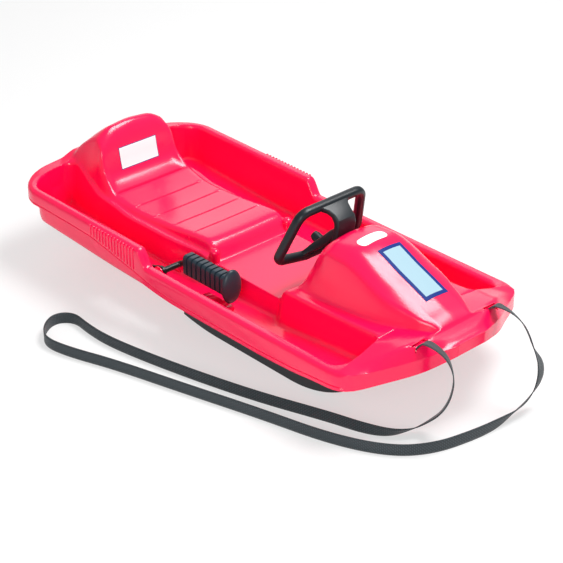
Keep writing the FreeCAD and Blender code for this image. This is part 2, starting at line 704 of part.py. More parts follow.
    hull = hull.cut(rod(BUSH_RADIUS, along_column(COLLAR_START - 1), COLUMN_DIR,
                        WEB_START + WEB_THICK - COLLAR_START + 2))
    hull = hull.cut(rod(KINGPIN_RADIUS + SHAFT_GAP, V(KINGPIN_X, 0, 0), V(0, 0, 1), plate_top + 1))
    hull = hull.cut(rod(BRAKE_BUSH_RADIUS, V(BRAKE_X, BRAKE_WALL_Y + 2 * WALL, BRAKE_Z), V(0, -1, 0),
                        BRAKE_BOSS_LENGTH + 3 * WALL))
    slot_half = CLAW_THICK / 2 + CLAW_SLOT_GAP
    hull = hull.cut(box(BRAKE_X - CLAW_SLOT_REACH, BRAKE_X + CLAW_WIDTH, CLAW_Y - slot_half, CLAW_Y + slot_half,
                        channel_floor_at(BRAKE_X) - 30, CHANNEL_BREAK_Z - 12))
    for side in (-1, 1):
        y = side * STRAP_SLOT_Y
        hull = hull.cut(box(STRAP_SLOT_X - STRAP_SLOT_WIDTH / 2, STRAP_SLOT_X + STRAP_SLOT_WIDTH / 2,
                            y - STRAP_SLOT_LENGTH / 2, y + STRAP_SLOT_LENGTH / 2, DECK_Z - 40, DECK_Z + 20))
    shallow = under_top(GROOVE_DEPTH)
    for i in range(GROOVE_COUNT):
        x = GROOVE_FIRST_X + i * GROOVE_PITCH
        half = edge_at(x) - SEAT_BORDER - 4
        groove = box(x - GROOVE_WIDTH / 2, x + GROOVE_WIDTH / 2, -half, half, FLOOR_Z, CUT_HIGH).cut(shallow)
        hull = hull.cut(groove)
    return hull.removeSplitter()


def make_label(outline_box, raise_z, forward):
    """Thin blank label that follows the moulded surface inside a box."""
    raised = under_top(-raise_z, forward)
    seat = under_top(-LABEL_FILM if raise_z else 0, LABEL_FILM if forward else 0)
    return raised.common(outline_box).cut(seat)


def make_steering_wheel():
    outline = [
        (-WHEEL_TOP, WHEEL_TOP_HALF, 26),
        (WHEEL_LOW, WHEEL_LOW_HALF, 18),
        (WHEEL_FOOT, WHEEL_FOOT_HALF, 24),
    ]
    half = [(V(x, y, 0), r) for x, y, r in outline]
    whole = half + [(V(p.x, -p.y, 0), r) for p, r in reversed(half)]
    path = rounded_wire([p for p, r in whole], [r for p, r in whole])
    first = path.Edges[-1]
    start = first.valueAt(first.FirstParameter)
    tangent = first.tangentAt(first.FirstParameter)
    section = Part.Wire(Part.makeCircle(WHEEL_BAR_RADIUS, start, tangent))
    ordered = Part.Wire([path.Edges[-1]] + path.Edges[:-1])
    ring = ordered.makePipeShell([section], True, False)
    under_bar = -WHEEL_TOP + WHEEL_BAR_RADIUS
    flare_half = WHEEL_NECK_HALF + WHEEL_NECK_FLARE + 2
    neck = [
        (V(-WHEEL_TOP, flare_half, 0), 0),
        (V(under_bar, flare_half, 0), 0),
        (V(under_bar, WHEEL_NECK_HALF, 0), WHEEL_NECK_FLARE),
        (V(-WHEEL_GUSSET_TOP, WHEEL_NECK_HALF, 0), 0),
        (V(WHEEL_FOOT + (WHEEL_LOW - WHEEL_FOOT) * WHEEL_GUSSET_SHARE,
           WHEEL_FOOT_HALF + (WHEEL_LOW_HALF - WHEEL_FOOT_HALF) * WHEEL_GUSSET_SHARE, 0), 0),
        (V(WHEEL_FOOT, WHEEL_FOOT_HALF, 0), 0),
    ]
    panel = neck + [(V(p.x, -p.y, 0), r) for p, r in reversed(neck)]
    plate = prism(rounded_wire([p for p, r in panel], [r for p, r in panel]), V(0, 0, WHEEL_PANEL_THICK))
    plate.translate(V(0, 0, -WHEEL_PANEL_THICK / 2))
    front = COLLAR_START - BUSH_FLANGE_THICK - PART_GAP
    hub = rod(WHEEL_HUB_RADIUS, V(0, 0, -WHEEL_HUB_BACK), V(0, 0, 1), front + WHEEL_HUB_BACK)
    bore = rod(COLUMN_RADIUS, V(0, 0, -WHEEL_HUB_BACK / 2), V(0, 0, 1), front + WHEEL_HUB_BACK)
    screw_hole = rod(WHEEL_SCREW_RADIUS, V(0, 0, -WHEEL_HUB_BACK - 1), V(0, 0, 1), WHEEL_HUB_BACK)
    wheel = fused([ring, plate, hub]).cut(bore).cut(screw_hole)
    return on_column(wheel)


CRANK_START = WEB_START + WEB_THICK + BUSH_FLANGE_THICK + PART_GAP
CRANK_END = CRANK_START + CRANK_THICK


def make_steering_column():
    start = -WHEEL_HUB_BACK / 2
    length = CRANK_END + CRANK_NUT_THICK + COLUMN_END_SPARE - start
    shaft = rod(COLUMN_RADIUS, V(0, 0, start), V(0, 0, 1), length)
    shaft = shaft.cut(rod(WHEEL_SCREW_RADIUS, V(0, 0, start), V(0, 0, 1), WHEEL_SCREW_DEPTH + 2))
    return on_column(shaft)


def make_wheel_screw():
    head = rod(WHEEL_SCREW_HEAD, V(0, 0, -WHEEL_HUB_BACK - WHEEL_SCREW_HEAD_THICK), V(0, 0, 1),
               WHEEL_SCREW_HEAD_THICK)
    shank = rod(WHEEL_SCREW_RADIUS, V(0, 0, -WHEEL_HUB_BACK), V(0, 0, 1),
                WHEEL_HUB_BACK / 2 + WHEEL_SCREW_DEPTH)
    socket = hexagon(WHEEL_SCREW_HEAD, WHEEL_SCREW_HEAD_THICK * 0.6,
                     V(0, 0, -WHEEL_HUB_BACK - WHEEL_SCREW_HEAD_THICK))
    return on_column(fused([head, shank]).cut(socket))


def make_column_bush(flange_at, body_from, body_length):
    body = rod(BUSH_RADIUS, V(0, 0, body_from), V(0, 0, 1), body_length)
    flange = rod(BUSH_RADIUS + BUSH_FLANGE, V(0, 0, flange_at), V(0, 0, 1), BUSH_FLANGE_THICK)
    bore = rod(COLUMN_RADIUS + SHAFT_GAP, V(0, 0, flange_at - 50), V(0, 0, 1), 150)
    return on_column(fused([body, flange]).cut(bore))


def make_crank():
    hub = rod(CRANK_HUB_RADIUS, V(0, 0, CRANK_START), V(0, 0, 1), CRANK_THICK)
    tip = rod(CRANK_TIP_RADIUS, V(CRANK_RADIUS, 0, CRANK_START), V(0, 0, 1), CRANK_THICK)
    sides = [V(0, CRANK_HUB_RADIUS, CRANK_START), V(CRANK_RADIUS, CRANK_TIP_RADIUS, CRANK_START),
             V(CRANK_RADIUS, -CRANK_TIP_RADIUS, CRANK_START), V(0, -CRANK_HUB_RADIUS, CRANK_START)]
    arm = prism(Part.makePolygon(sides + sides[:1]), V(0, 0, CRANK_THICK))
    crank = fused([hub, tip, arm])
    crank = crank.cut(rod(COLUMN_RADIUS, V(0, 0, CRANK_START - 1), V(0, 0, 1), CRANK_THICK + 2))
    crank = crank.cut(rod(CRANK_PIN_RADIUS, V(CRANK_RADIUS, 0, CRANK_START - 1), V(0, 0, 1), CRANK_THICK + 2))
    return on_column(crank)


def make_crank_pin():
    return on_column(rod(CRANK_PIN_RADIUS, V(CRANK_RADIUS, 0, CRANK_START), V(0, 0, 1), CRANK_PIN_LENGTH))


def make_crank_nut():
    nut = hexagon(CRANK_NUT_FLATS, CRANK_NUT_THICK, V(0, 0, CRANK_END))
    return on_column(nut.cut(rod(COLUMN_RADIUS, V(0, 0, CRANK_END - 1), V(0, 0, 1), CRANK_NUT_THICK + 2)))


PIN_REACH = CRANK_START + CRANK_PIN_LENGTH * 0.62
PIN_POINT = along_column(PIN_REACH) + V(-math.sin(math.radians(COLUMN_TILT)), 0,
                                        -math.cos(math.radians(COLUMN_TILT))) * CRANK_RADIUS
BAR_Z = RUNNER_HEIGHT
BAR_TOP = BAR_Z + BAR_THICK
BAR_HALF = RUNNER_Y + RUNNER_WIDTH / 2 - 1
SCREW_PLACES = [(x, side * RUNNER_Y) for x in (FRONT_BAR_X, REAR_BAR_X) for side in (-1, 1)]
YOKE_SCREW_X = PIN_POINT.x + YOKE_LENGTH * 0.66
YOKE_SCREW_PLACES = [(YOKE_SCREW_X, side * YOKE_HALF * 0.55) for side in (-1, 1)]


def make_runner(side):
    """Ski-shaped runner with a slightly raised heel and a turned-up tip."""
    y0 = side * RUNNER_Y - RUNNER_WIDTH / 2
    tip_low = RUNNER_TIP_Z - RUNNER_TIP_THICK
    heel = V(RUNNER_REAR_X, y0, RUNNER_HEEL)
    heel_mid = V((RUNNER_REAR_X + RUNNER_FLAT_START_X) / 2, y0, RUNNER_HEEL * 0.25)
    flat_start = V(RUNNER_FLAT_START_X, y0, 0)
    flat_end = V(RUNNER_FLAT_END_X, y0, 0)
    bend_mid = V((RUNNER_FLAT_END_X + RUNNER_TIP_X) / 2, y0, tip_low * 0.25)
    toe = V(RUNNER_TIP_X, y0, tip_low)
    tip = V(RUNNER_TIP_X - 6, y0, RUNNER_TIP_Z)
    upper_start = V(RUNNER_FLAT_END_X + 24, y0, RUNNER_HEIGHT)
    upper_mid = V((upper_start.x + tip.x) / 2, y0, RUNNER_HEIGHT + (RUNNER_TIP_Z - RUNNER_HEIGHT) * 0.25)
    heel_top = V(RUNNER_REAR_X, y0, RUNNER_HEIGHT)
    edges = [
        Part.Arc(heel, heel_mid, flat_start).toShape(),
        Part.LineSegment(flat_start, flat_end).toShape(),
        Part.Arc(flat_end, bend_mid, toe).toShape(),
        Part.LineSegment(toe, tip).toShape(),
        Part.Arc(tip, upper_mid, upper_start).toShape(),
        Part.LineSegment(upper_start, heel_top).toShape(),
        Part.LineSegment(heel_top, heel).toShape(),
    ]
    runner = prism(Part.Wire(edges), V(0, RUNNER_WIDTH, 0))
    for x, y in SCREW_PLACES:
        if y * side > 0:
            runner = runner.cut(rod(SCREW_RADIUS, V(x, y, RUNNER_HEIGHT - SCREW_DEPTH), V(0, 0, 1), SCREW_DEPTH + 1))
    return runner


def make_front_bar():
    x0 = FRONT_BAR_X - FRONT_BAR_WIDTH / 2
    x1 = FRONT_BAR_X + FRONT_BAR_WIDTH / 2
    bar = box(x0, x1, -BAR_HALF, BAR_HALF, BAR_Z, BAR_TOP)
    tongue = box(x1 - 1, KINGPIN_X, -TONGUE_HALF, TONGUE_HALF, BAR_Z, BAR_TOP)
    nose = rod(TONGUE_HALF, V(KINGPIN_X, 0, BAR_Z), V(0, 0, 1), BAR_THICK)
    bar = fused([bar, tongue, nose])
    bar = bar.cut(rod(KINGPIN_RADIUS + SHAFT_GAP, V(KINGPIN_X, 0, BAR_Z - 1), V(0, 0, 1), BAR_THICK + 2))
    holes = [place for place in SCREW_PLACES if place[0] == FRONT_BAR_X] + YOKE_SCREW_PLACES
    for x, y in holes:
        bar = bar.cut(rod(SCREW_RADIUS, V(x, y, BAR_Z - 1), V(0, 0, 1), BAR_THICK + 2))
    return bar


def make_rear_bar():
    bar = box(REAR_BAR_X - REAR_BAR_WIDTH / 2, REAR_BAR_X + REAR_BAR_WIDTH / 2, -BAR_HALF, BAR_HALF, BAR_Z, BAR_TOP)
    for x, y in SCREW_PLACES:
        if x == REAR_BAR_X:
            bar = bar.cut(rod(SCREW_RADIUS, V(x, y, BAR_Z - 1), V(0, 0, 1), BAR_THICK + 2))
    return bar


def make_runner_screws():
    screws = []
    for x, y in SCREW_PLACES:
        head = rod(SCREW_HEAD_RADIUS, V(x, y, BAR_TOP), V(0, 0, 1), SCREW_HEAD_THICK)
        shank = rod(SCREW_RADIUS, V(x, y, RUNNER_HEIGHT - SCREW_DEPTH), V(0, 0, 1), SCREW_DEPTH + BAR_THICK)
        screws.append(fused([head, shank]))
    return Part.makeCompound(screws)


def make_yoke():
    """Bracket on the front bar whose upright slot takes the crank pin."""
    x0 = PIN_POINT.x - YOKE_THICK / 2
    top = PIN_POINT.z + YOKE_TOP_ABOVE_PIN
    base = box(x0, x0 + YOKE_LENGTH, -YOKE_HALF, YOKE_HALF, BAR_TOP, BAR_TOP + YOKE_THICK)
    upright = box(x0, x0 + YOKE_THICK, -YOKE_HALF, YOKE_HALF, BAR_TOP, top)
    slot = box(x0 - 1, x0 + YOKE_THICK + 1, -YOKE_SLOT_HALF, YOKE_SLOT_HALF,
               PIN_POINT.z - YOKE_SLOT_BELOW, PIN_POINT.z + YOKE_SLOT_ABOVE)
    yoke = fused([base, upright]).cut(slot)
    for x, y in YOKE_SCREW_PLACES:
        yoke = yoke.cut(rod(SCREW_RADIUS, V(x, y, BAR_TOP - 1), V(0, 0, 1), YOKE_THICK + 2))
    return yoke


def make_yoke_screws():
    screws = []
    for x, y in YOKE_SCREW_PLACES:
        head = rod(SCREW_HEAD_RADIUS, V(x, y, BAR_TOP + YOKE_THICK), V(0, 0, 1), SCREW_HEAD_THICK)
        low = BAR_Z - YOKE_NUT_THICK - 2
        shank = rod(SCREW_RADIUS, V(x, y, low), V(0, 0, 1), BAR_TOP + YOKE_THICK - low)
        screws.append(fused([head, shank]))
    return Part.makeCompound(screws)


def make_yoke_nuts():
    nuts = []
    for x, y in YOKE_SCREW_PLACES:
        nut = hexagon(YOKE_NUT_FLATS, YOKE_NUT_THICK, V(x, y, BAR_Z - YOKE_NUT_THICK))
        nuts.append(nut.cut(rod(SCREW_RADIUS, V(x, y, 0), V(0, 0, 1), BAR_Z + 1)))
    return Part.makeCompound(nuts)


KINGPIN_TOP = PIVOT_PLATE_Z + PIVOT_PLATE_THICK + KINGPIN_WASHER_THICK + KINGPIN_NUT_THICK


def make_kingpin():
    head_z = BAR_Z - PART_GAP - KINGPIN_HEAD_THICK
    head = hexagon(KINGPIN_HEAD_FLATS, KINGPIN_HEAD_THICK, V(KINGPIN_X, 0, head_z))
    shank = rod(KINGPIN_RADIUS, V(KINGPIN_X, 0, head_z), V(0, 0, 1), KINGPIN_TOP + 3 - head_z)
    return fused([head, shank])


def make_kingpin_washers():
    washers = []
    for z in (KINGPIN_WASHER_Z, PIVOT_PLATE_Z + PIVOT_PLATE_THICK):
        washer = rod(KINGPIN_WASHER_RADIUS, V(KINGPIN_X, 0, z), V(0, 0, 1), KINGPIN_WASHER_THICK)
        washers.append(washer.cut(rod(KINGPIN_RADIUS, V(KINGPIN_X, 0, z - 1), V(0, 0, 1), KINGPIN_WASHER_THICK + 2)))
    return Part.makeCompound(washers)


def make_kingpin_nut():
    z = KINGPIN_TOP - KINGPIN_NUT_THICK
    nut = hexagon(KINGPIN_HEAD_FLATS, KINGPIN_NUT_THICK, V(KINGPIN_X, 0, z))
    return nut.cut(rod(KINGPIN_RADIUS, V(KINGPIN_X, 0, z - 1), V(0, 0, 1), KINGPIN_NUT_THICK + 2))


GRIP_START = BRAKE_X + BRAKE_ARM + GRIP_REAR_GAP
GRIP_Z = BRAKE_Z + BRAKE_ARM_RISE
GRIP_END = GRIP_START + GRIP_LENGTH
BRAKE_BOSS_END = BRAKE_WALL_Y - BRAKE_BOSS_LENGTH
BRAKE_ROD_OUT = BRAKE_BOSS_END - BRAKE_CLIP_THICK - PART_GAP - BRAKE_ROD_OUTER_GAP


def make_brake_rod():
    points = [
        V(BRAKE_X, BRAKE_ROD_OUT, BRAKE_Z),
        V(BRAKE_X, BRAKE_GRIP_Y, BRAKE_Z),
        V(BRAKE_X + BRAKE_ARM, BRAKE_GRIP_Y, GRIP_Z),
        V(GRIP_END - GRIP_END_WALL, BRAKE_GRIP_Y, GRIP_Z),
    ]
    path = rounded_wire(points, [0, BRAKE_BEND, BRAKE_ARM_BEND, 0], False)
    section = Part.Wire(Part.makeCircle(BRAKE_ROD_RADIUS, V(BRAKE_X, BRAKE_ROD_OUT, BRAKE_Z), V(0, 1, 0)))
    return path.makePipeShell([section], True, False)


def rounded_bar(x0, x1, width, height, corner):
    """Bar along X with rounded corners, centred on the grip."""
    half_w = width / 2
    half_h = height / 2
    points = [V(x0, BRAKE_GRIP_Y - half_w, GRIP_Z - half_h), V(x0, BRAKE_GRIP_Y + half_w, GRIP_Z - half_h),
              V(x0, BRAKE_GRIP_Y + half_w, GRIP_Z + half_h), V(x0, BRAKE_GRIP_Y - half_w, GRIP_Z + half_h)]
    return prism(rounded_wire(points, [corner] * 4), V(x1 - x0, 0, 0))


def make_brake_grip():
    """Ribbed hand grip with a guard at its front end."""
    pitch = GRIP_LENGTH / GRIP_RIB_COUNT
    core = rounded_bar(GRIP_START, GRIP_END, GRIP_WIDTH - 2 * GRIP_GROOVE, GRIP_HEIGHT - 2 * GRIP_GROOVE, 8)
    pieces = [core]
    for i in range(GRIP_RIB_COUNT):
        x0 = GRIP_START + i * pitch
        pieces.append(rounded_bar(x0, x0 + pitch * GRIP_RIB_SHARE, GRIP_WIDTH, GRIP_HEIGHT, 9))
    pieces.append(rounded_bar(GRIP_END - pitch * (1 - GRIP_RIB_SHARE), GRIP_END + GUARD_THICK, GUARD_WIDTH,
                              GUARD_HEIGHT, GUARD_CORNER))
    grip = fused(pieces)
    return grip.cut(rod(BRAKE_ROD_RADIUS, V(GRIP_START - 1, BRAKE_GRIP_Y, GRIP_Z), V(1, 0, 0),
                        GRIP_LENGTH - GRIP_END_WALL + 1))


def make_brake_claw():
    """Flat steel claw welded to the rod, lying rearwards at rest."""
    y0 = CLAW_Y - CLAW_THICK / 2
    half = CLAW_WIDTH / 2
    tip = CLAW_TIP_WIDTH / 2
    points = [V(0, y0, half), V(0, y0, -half), V(CLAW_LENGTH, y0, -tip), V(CLAW_LENGTH, y0, tip)]
    blade = prism(Part.makePolygon(points + points[:1]), V(0, CLAW_THICK, 0))
    eye = rod(half, V(0, y0, 0), V(0, 1, 0), CLAW_THICK)
    claw = fused([blade, eye]).cut(rod(BRAKE_ROD_RADIUS, V(0, y0 - 1, 0), V(0, 1, 0), CLAW_THICK + 2))
    claw.rotate(V(0, 0, 0), V(0, 1, 0), 90 + CLAW_REST_ANGLE)
    claw.translate(V(BRAKE_X, 0, BRAKE_Z))
    return claw


def make_brake_bush():
    start = BRAKE_WALL_Y + WALL + BUSH_FLANGE_THICK
    body = rod(BRAKE_BUSH_RADIUS, V(BRAKE_X, start, BRAKE_Z), V(0, -1, 0), start - BRAKE_BOSS_END)
    flange = rod(BRAKE_BUSH_RADIUS + BUSH_FLANGE, V(BRAKE_X, start, BRAKE_Z), V(0, -1, 0), BUSH_FLANGE_THICK)
    bore = rod(BRAKE_ROD_RADIUS + SHAFT_GAP, V(BRAKE_X, start + 1, BRAKE_Z), V(0, -1, 0), 80)
    return fused([body, flange]).cut(bore)


def make_brake_clip():
    y = BRAKE_BOSS_END - PART_GAP
    clip = rod(BRAKE_CLIP_RADIUS, V(BRAKE_X, y, BRAKE_Z), V(0, -1, 0), BRAKE_CLIP_THICK)
    return clip.cut(rod(BRAKE_ROD_RADIUS, V(BRAKE_X, y + 1, BRAKE_Z), V(0, -1, 0), BRAKE_CLIP_THICK + 2))


def route_radii(points):
    """Arc radius at each corner of a route, as large as its runs allow."""
    radii = [0.0]
    for before, point, after in zip(points, points[1:], points[2:]):
        back = before - point
        ahead = after - point
        turn = math.pi - back.getAngle(ahead)
        radii.append(0.45 * min(back.Length, ahead.Length) / math.tan(turn / 2))
    return radii + [0.0]


def ribbon(path, vector):
    """Flat band: a path offset both ways by half the webbing's thickness, drawn out along a vector."""
    one = path.makeOffset2D(STRAP_THICK / 2, 0, False, True)
    other = path.makeOffset2D(-STRAP_THICK / 2, 0, False, True)
    edges = one.Edges + other.Edges
    for pick in (0, -1):
        edges.append(Part.LineSegment(one.OrderedVertexes[pick].Point, other.OrderedVertexes[pick].Point).toShape())
    return Part.Face(Part.Wire(Part.__sortEdges__(edges))).extrude(vector)


def strap_drop(y, hang_x):
    """Strap from its slot over the lip and straight down, with its width along Y."""
    low = STRAP_WIDTH / 2 + STRAP_BEND_RADIUS
    edge = y - STRAP_WIDTH / 2
    shoulder_x = (STRAP_SLOT_X + hang_x) / 2 + 10
    points = [V(STRAP_SLOT_X, edge, STOP_PAD_Z), V(STRAP_SLOT_X, edge, STRAP_OVER_Z),
              V(shoulder_x, edge, STRAP_OVER_Z), V(hang_x, edge, low + STRAP_LEAD), V(hang_x, edge, low)]
    path = rounded_wire(points, route_radii(points), False)
    return path, ribbon(path, V(0, STRAP_WIDTH, 0))


def strap_turn(y, hang_x):
    """Quarter turn in the webbing's own plane, from hanging to lying on edge."""
    centre = V(hang_x - STRAP_THICK / 2, y - STRAP_BEND_RADIUS, STRAP_WIDTH / 2 + STRAP_BEND_RADIUS)
    outer = rod(STRAP_BEND_RADIUS + STRAP_WIDTH / 2, centre, V(1, 0, 0), STRAP_THICK)
    inner = rod(STRAP_BEND_RADIUS - STRAP_WIDTH / 2, centre, V(1, 0, 0), STRAP_THICK)
    quarter = box(hang_x - STRAP_THICK, hang_x + STRAP_THICK, centre.y, y + STRAP_WIDTH, 0, centre.z)
    return outer.cut(inner).common(quarter)


def make_tow_strap():
    points = [V(x, y, 0) for x, y in STRAP_ROUTE]
    radii = route_radii(points)
    path = rounded_wire(points, radii, False)
    pieces = [ribbon(path, V(0, 0, STRAP_WIDTH))]
    length = path.Length
    for y, hang_x in ((STRAP_SLOT_Y, LEFT_HANG_X), (-STRAP_SLOT_Y, RIGHT_HANG_X)):
        drop_path, drop = strap_drop(y, hang_x)
        pieces += [drop, strap_turn(y, hang_x)]
        length += drop_path.Length + STRAP_BEND_RADIUS * math.pi / 2
    strap = fused(pieces)
    print("strap radii", [round(r) for r in radii[1:-1]])
    print("strap length", round(length), "volume", round(strap.Volume),
          "section times length", round(length * STRAP_WIDTH * STRAP_THICK))
    return strap


def make_strap_stops():
    stops = []
    for side in (-1, 1):
        y = side * STRAP_SLOT_Y
        stops.append(box(STRAP_SLOT_X - STOP_WIDTH / 2, STRAP_SLOT_X + STOP_WIDTH / 2, y - STOP_LENGTH / 2,
                         y + STOP_LENGTH / 2, STOP_PAD_Z - STOP_HEIGHT, STOP_PAD_Z))
    return Part.makeCompound(stops)


def make_console_label():
    zone = box(CONSOLE_LABEL_X - CONSOLE_LABEL_LENGTH / 2, CONSOLE_LABEL_X + CONSOLE_LABEL_LENGTH / 2,
               CONSOLE_LABEL_Y - CONSOLE_LABEL_WIDTH / 2, CONSOLE_LABEL_Y + CONSOLE_LABEL_WIDTH / 2, 0, CUT_HIGH)
    return make_label(zone, LABEL_THICK, 0)


def make_small_label():
    zone = box(SMALL_LABEL_X - SMALL_LABEL_LENGTH / 2, SMALL_LABEL_X + SMALL_LABEL_LENGTH / 2,
               -SMALL_LABEL_WIDTH / 2, SMALL_LABEL_WIDTH / 2, 0, CUT_HIGH)
    return make_label(zone, LABEL_THICK, 0)


def make_backrest_label():
    zone = box(BACKREST_TOP_X, SEAT_REAR_X, -BACK_LABEL_WIDTH / 2, BACK_LABEL_WIDTH / 2,
               BACK_LABEL_Z - BACK_LABEL_HEIGHT / 2, BACK_LABEL_Z + BACK_LABEL_HEIGHT / 2)
    return make_label(zone, 0, LABEL_THICK)


def main():
    os.makedirs("parts", exist_ok=True)
    shapes = {
        "hull": make_hull(),
        "steering_wheel": make_steering_wheel(),
        "wheel_screw": make_wheel_screw(),
        "steering_column": make_steering_column(),
        "upper_column_bush": make_column_bush(COLLAR_START - BUSH_FLANGE_THICK, COLLAR_START, COLLAR_LENGTH),
        "lower_column_bush": make_column_bush(WEB_START + WEB_THICK, WEB_START, WEB_THICK),
        "column_crank": make_crank(),
        "crank_pin": make_crank_pin(),
        "crank_nut": make_crank_nut(),
        "left_runner": make_runner(1),
        "right_runner": make_runner(-1),
        "front_cross_bar": make_front_bar(),
        "rear_cross_bar": make_rear_bar(),
        "runner_screws": make_runner_screws(),
        "steering_yoke": make_yoke(),
        "yoke_screws": make_yoke_screws(),
        "yoke_nuts": make_yoke_nuts(),
        "kingpin": make_kingpin(),
        "kingpin_washers": make_kingpin_washers(),
        "kingpin_nut": make_kingpin_nut(),
        "brake_rod": make_brake_rod(),
        "brake_grip": make_brake_grip(),
        "brake_claw": make_brake_claw(),
        "brake_bush": make_brake_bush(),
        "brake_clip": make_brake_clip(),
        "tow_strap": make_tow_strap(),
        "strap_stops": make_strap_stops(),
        "console_label": make_console_label(),
        "small_label": make_small_label(),
        "backrest_label": make_backrest_label(),
    }
    for name, shape in shapes.items():
        solids = len(shape.Solids)
        print(name, "solids", solids, "volume", round(shape.Volume), "valid", shape.isValid())
        shape.exportStep("parts/" + name + ".step")


main()
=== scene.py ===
"""Looks of a moulded steering sled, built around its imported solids."""

import json
import math

import bmesh
import bpy
from bpy.props import FloatProperty, FloatVectorProperty, PointerProperty, StringProperty
from mathutils import Matrix, Vector
from mathutils.bvhtree import BVHTree
from mathutils.geometry import intersect_point_line


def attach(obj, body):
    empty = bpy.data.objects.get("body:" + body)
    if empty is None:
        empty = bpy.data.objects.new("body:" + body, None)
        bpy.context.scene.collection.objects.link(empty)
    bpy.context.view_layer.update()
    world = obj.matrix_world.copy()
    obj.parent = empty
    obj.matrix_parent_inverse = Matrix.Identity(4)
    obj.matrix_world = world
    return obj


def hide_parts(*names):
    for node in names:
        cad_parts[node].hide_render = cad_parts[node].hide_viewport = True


bl_info = {
    "name": "Steering Sled",
    "version": (1, 0, 0),
    "blender": (4, 5, 0),
    "location": "View3D > Sidebar > Sled",
    "description": "Moulded steering sled with wheel, hand brake, runners and tow strap",
    "category": "Add Mesh",
}

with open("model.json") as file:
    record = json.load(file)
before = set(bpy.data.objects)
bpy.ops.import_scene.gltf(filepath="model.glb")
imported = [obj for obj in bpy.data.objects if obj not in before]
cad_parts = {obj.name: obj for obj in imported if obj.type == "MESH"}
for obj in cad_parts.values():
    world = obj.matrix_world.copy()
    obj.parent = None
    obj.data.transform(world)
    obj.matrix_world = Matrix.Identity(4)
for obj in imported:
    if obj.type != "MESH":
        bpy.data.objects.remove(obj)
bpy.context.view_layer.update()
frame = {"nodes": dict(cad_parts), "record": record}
MM = 0.001

# Outline and moulded top of the hull, in millimetres
REAR = -561.0
NOSE = 561.0
WALL = 4.0
RIM_WIDTH = 24.0
STERN_HALF = 254.0
BOW_HALF = 249.0
STERN_RADIUS = 85.0
CHANNEL_REAR = REAR + 26.0
CHANNEL_FRONT = NOSE - 115.0

# Bow outline as corner points from the side to the tip, and how far each corner is rounded
BOW_OUTLINE = [(376.0, 249.4), (465.0, 249.0), (508.0, 161.0), (538.0, 107.0), (561.0, 40.0), (561.0, 0.0)]
BOW_TRIMS = (40, 20, 22, 20)
BOW_STEPS = (6, 10, 9, 7, 8)
# Band in which the bow deck falls to its edge, reach over which its bends are eased, half width of the tip
BOW_SLOPE = 20.0
DECK_EASE = 14.0
TIP_HALF = 36.0

# Side channels: half width of the outer wall at stern and nose, draft of both walls, plan rounding of the
# ends, and the distance in which that rounding fades beyond them
CHANNEL_OUT_STERN = 232.0
CHANNEL_OUT_NOSE = 222.0
CHANNEL_DRAFT_IN = 9.0
CHANNEL_DRAFT_OUT = 6.0
CHANNEL_ROUND_OUT = 40.0
CHANNEL_ROUND_REAR = 26.0
CHANNEL_ROUND_FRONT = 16.0
CHANNEL_FADE = 40.0
# End of a channel as (distance into it, share of its depth)
CHANNEL_END = [(-7, 0), (0, 0), (1.5, 0.5), (14, 1.0), (22, 1.0)]

# Lines along the hull as (x, value): heights of the rim and of the lip's lower edge, height of the crease
# above that edge, half width of the moulded top, and height of the channel floors
RIM_LINE = [(-561, 184), (-133, 181), (-103, 145), (466, 148), (508, 153), (538, 164), (561, 173)]
LIP_LINE = [(-561, 154), (-293, 148), (-257, 122), (-133, 110), (-60, 101), (-10, 98), (224, 97.5),
            (315, 100.5), (402, 108.5), (466, 113), (508, 122), (538, 133), (561, 149)]
CREASE_GAP = [(-561, 4), (-293, 4), (-257, 25), (-133, 14), (-60, 9), (446, 8), (466, 4)]
EDGE_LINE = [(-561, 108), (-391, 124), (-67, 118), (-31, 106), (136, 104), (176, 122), (446, 128),
             (561, 128)]
FLOOR_LINE = [(-561, 103), (-535, 101), (-452, 95), (-366, 90), (-283, 85), (-201, 81.5), (-121, 80),
              (20, 80), (150, 85), (446, 111), (561, 111)]
CREASE_DEPTH = 2.2
CREASE_HALF = 1.5

# Grooves across the seat, the first and deepest at the foot of the backrest
GROOVES = [-391 + 64.4 * k for k in range(5)]
GROOVE_DEPTH = 4.2
FOOT_GROOVE_DEPTH = 7.0
GROOVE_HALF = 2.8
GROOVE_MARGIN = 6.0
GROOVE_RUNOUT = 12.0

# Upright ribs on the rim beside the seat, with the gaps left above the crease and below the rim
RIBS = [-283 + 10 * k for k in range(15)]
RIB_HALF = 2.6
RIB_PROUD = 1.8
RIB_BEVEL = 1.3
RIB_GAP_BELOW = 4.0
RIB_GAP_ABOVE = 2.0

# Steps along each run of a cross section from the centre to the lip, and round each of its corners
ROW_STEPS = (6, 3, 3, 2, 4, 4, 4, 2, 3, 1, 1, 2)
CORNER_STEPS = 3
RUNS_TO_RIM = 8
# Largest share of a run that the rounding of one corner takes
CORNER_SHARE = 0.46
# Rounding of the crest on the console and the backrest, and softer on the seat between these two places
CREST_TRIM = 7
SEAT_CREST_TRIM = 13
SEAT_CREST = (-430, 150)
# Distance from row to row where the top changes quickly, on the backrest and elsewhere
FINE_STEP = 3.5
BACKREST_STEP = 4.5
PLAIN_STEP = 8.0
# Rows of the stern's upright face, how much wider each is than the last, and the share of the height that
# the first of them drops towards the lip
SKIRT_ROWS = 5
SKIRT_STEP = 6.0
SKIRT_DROP = 0.98

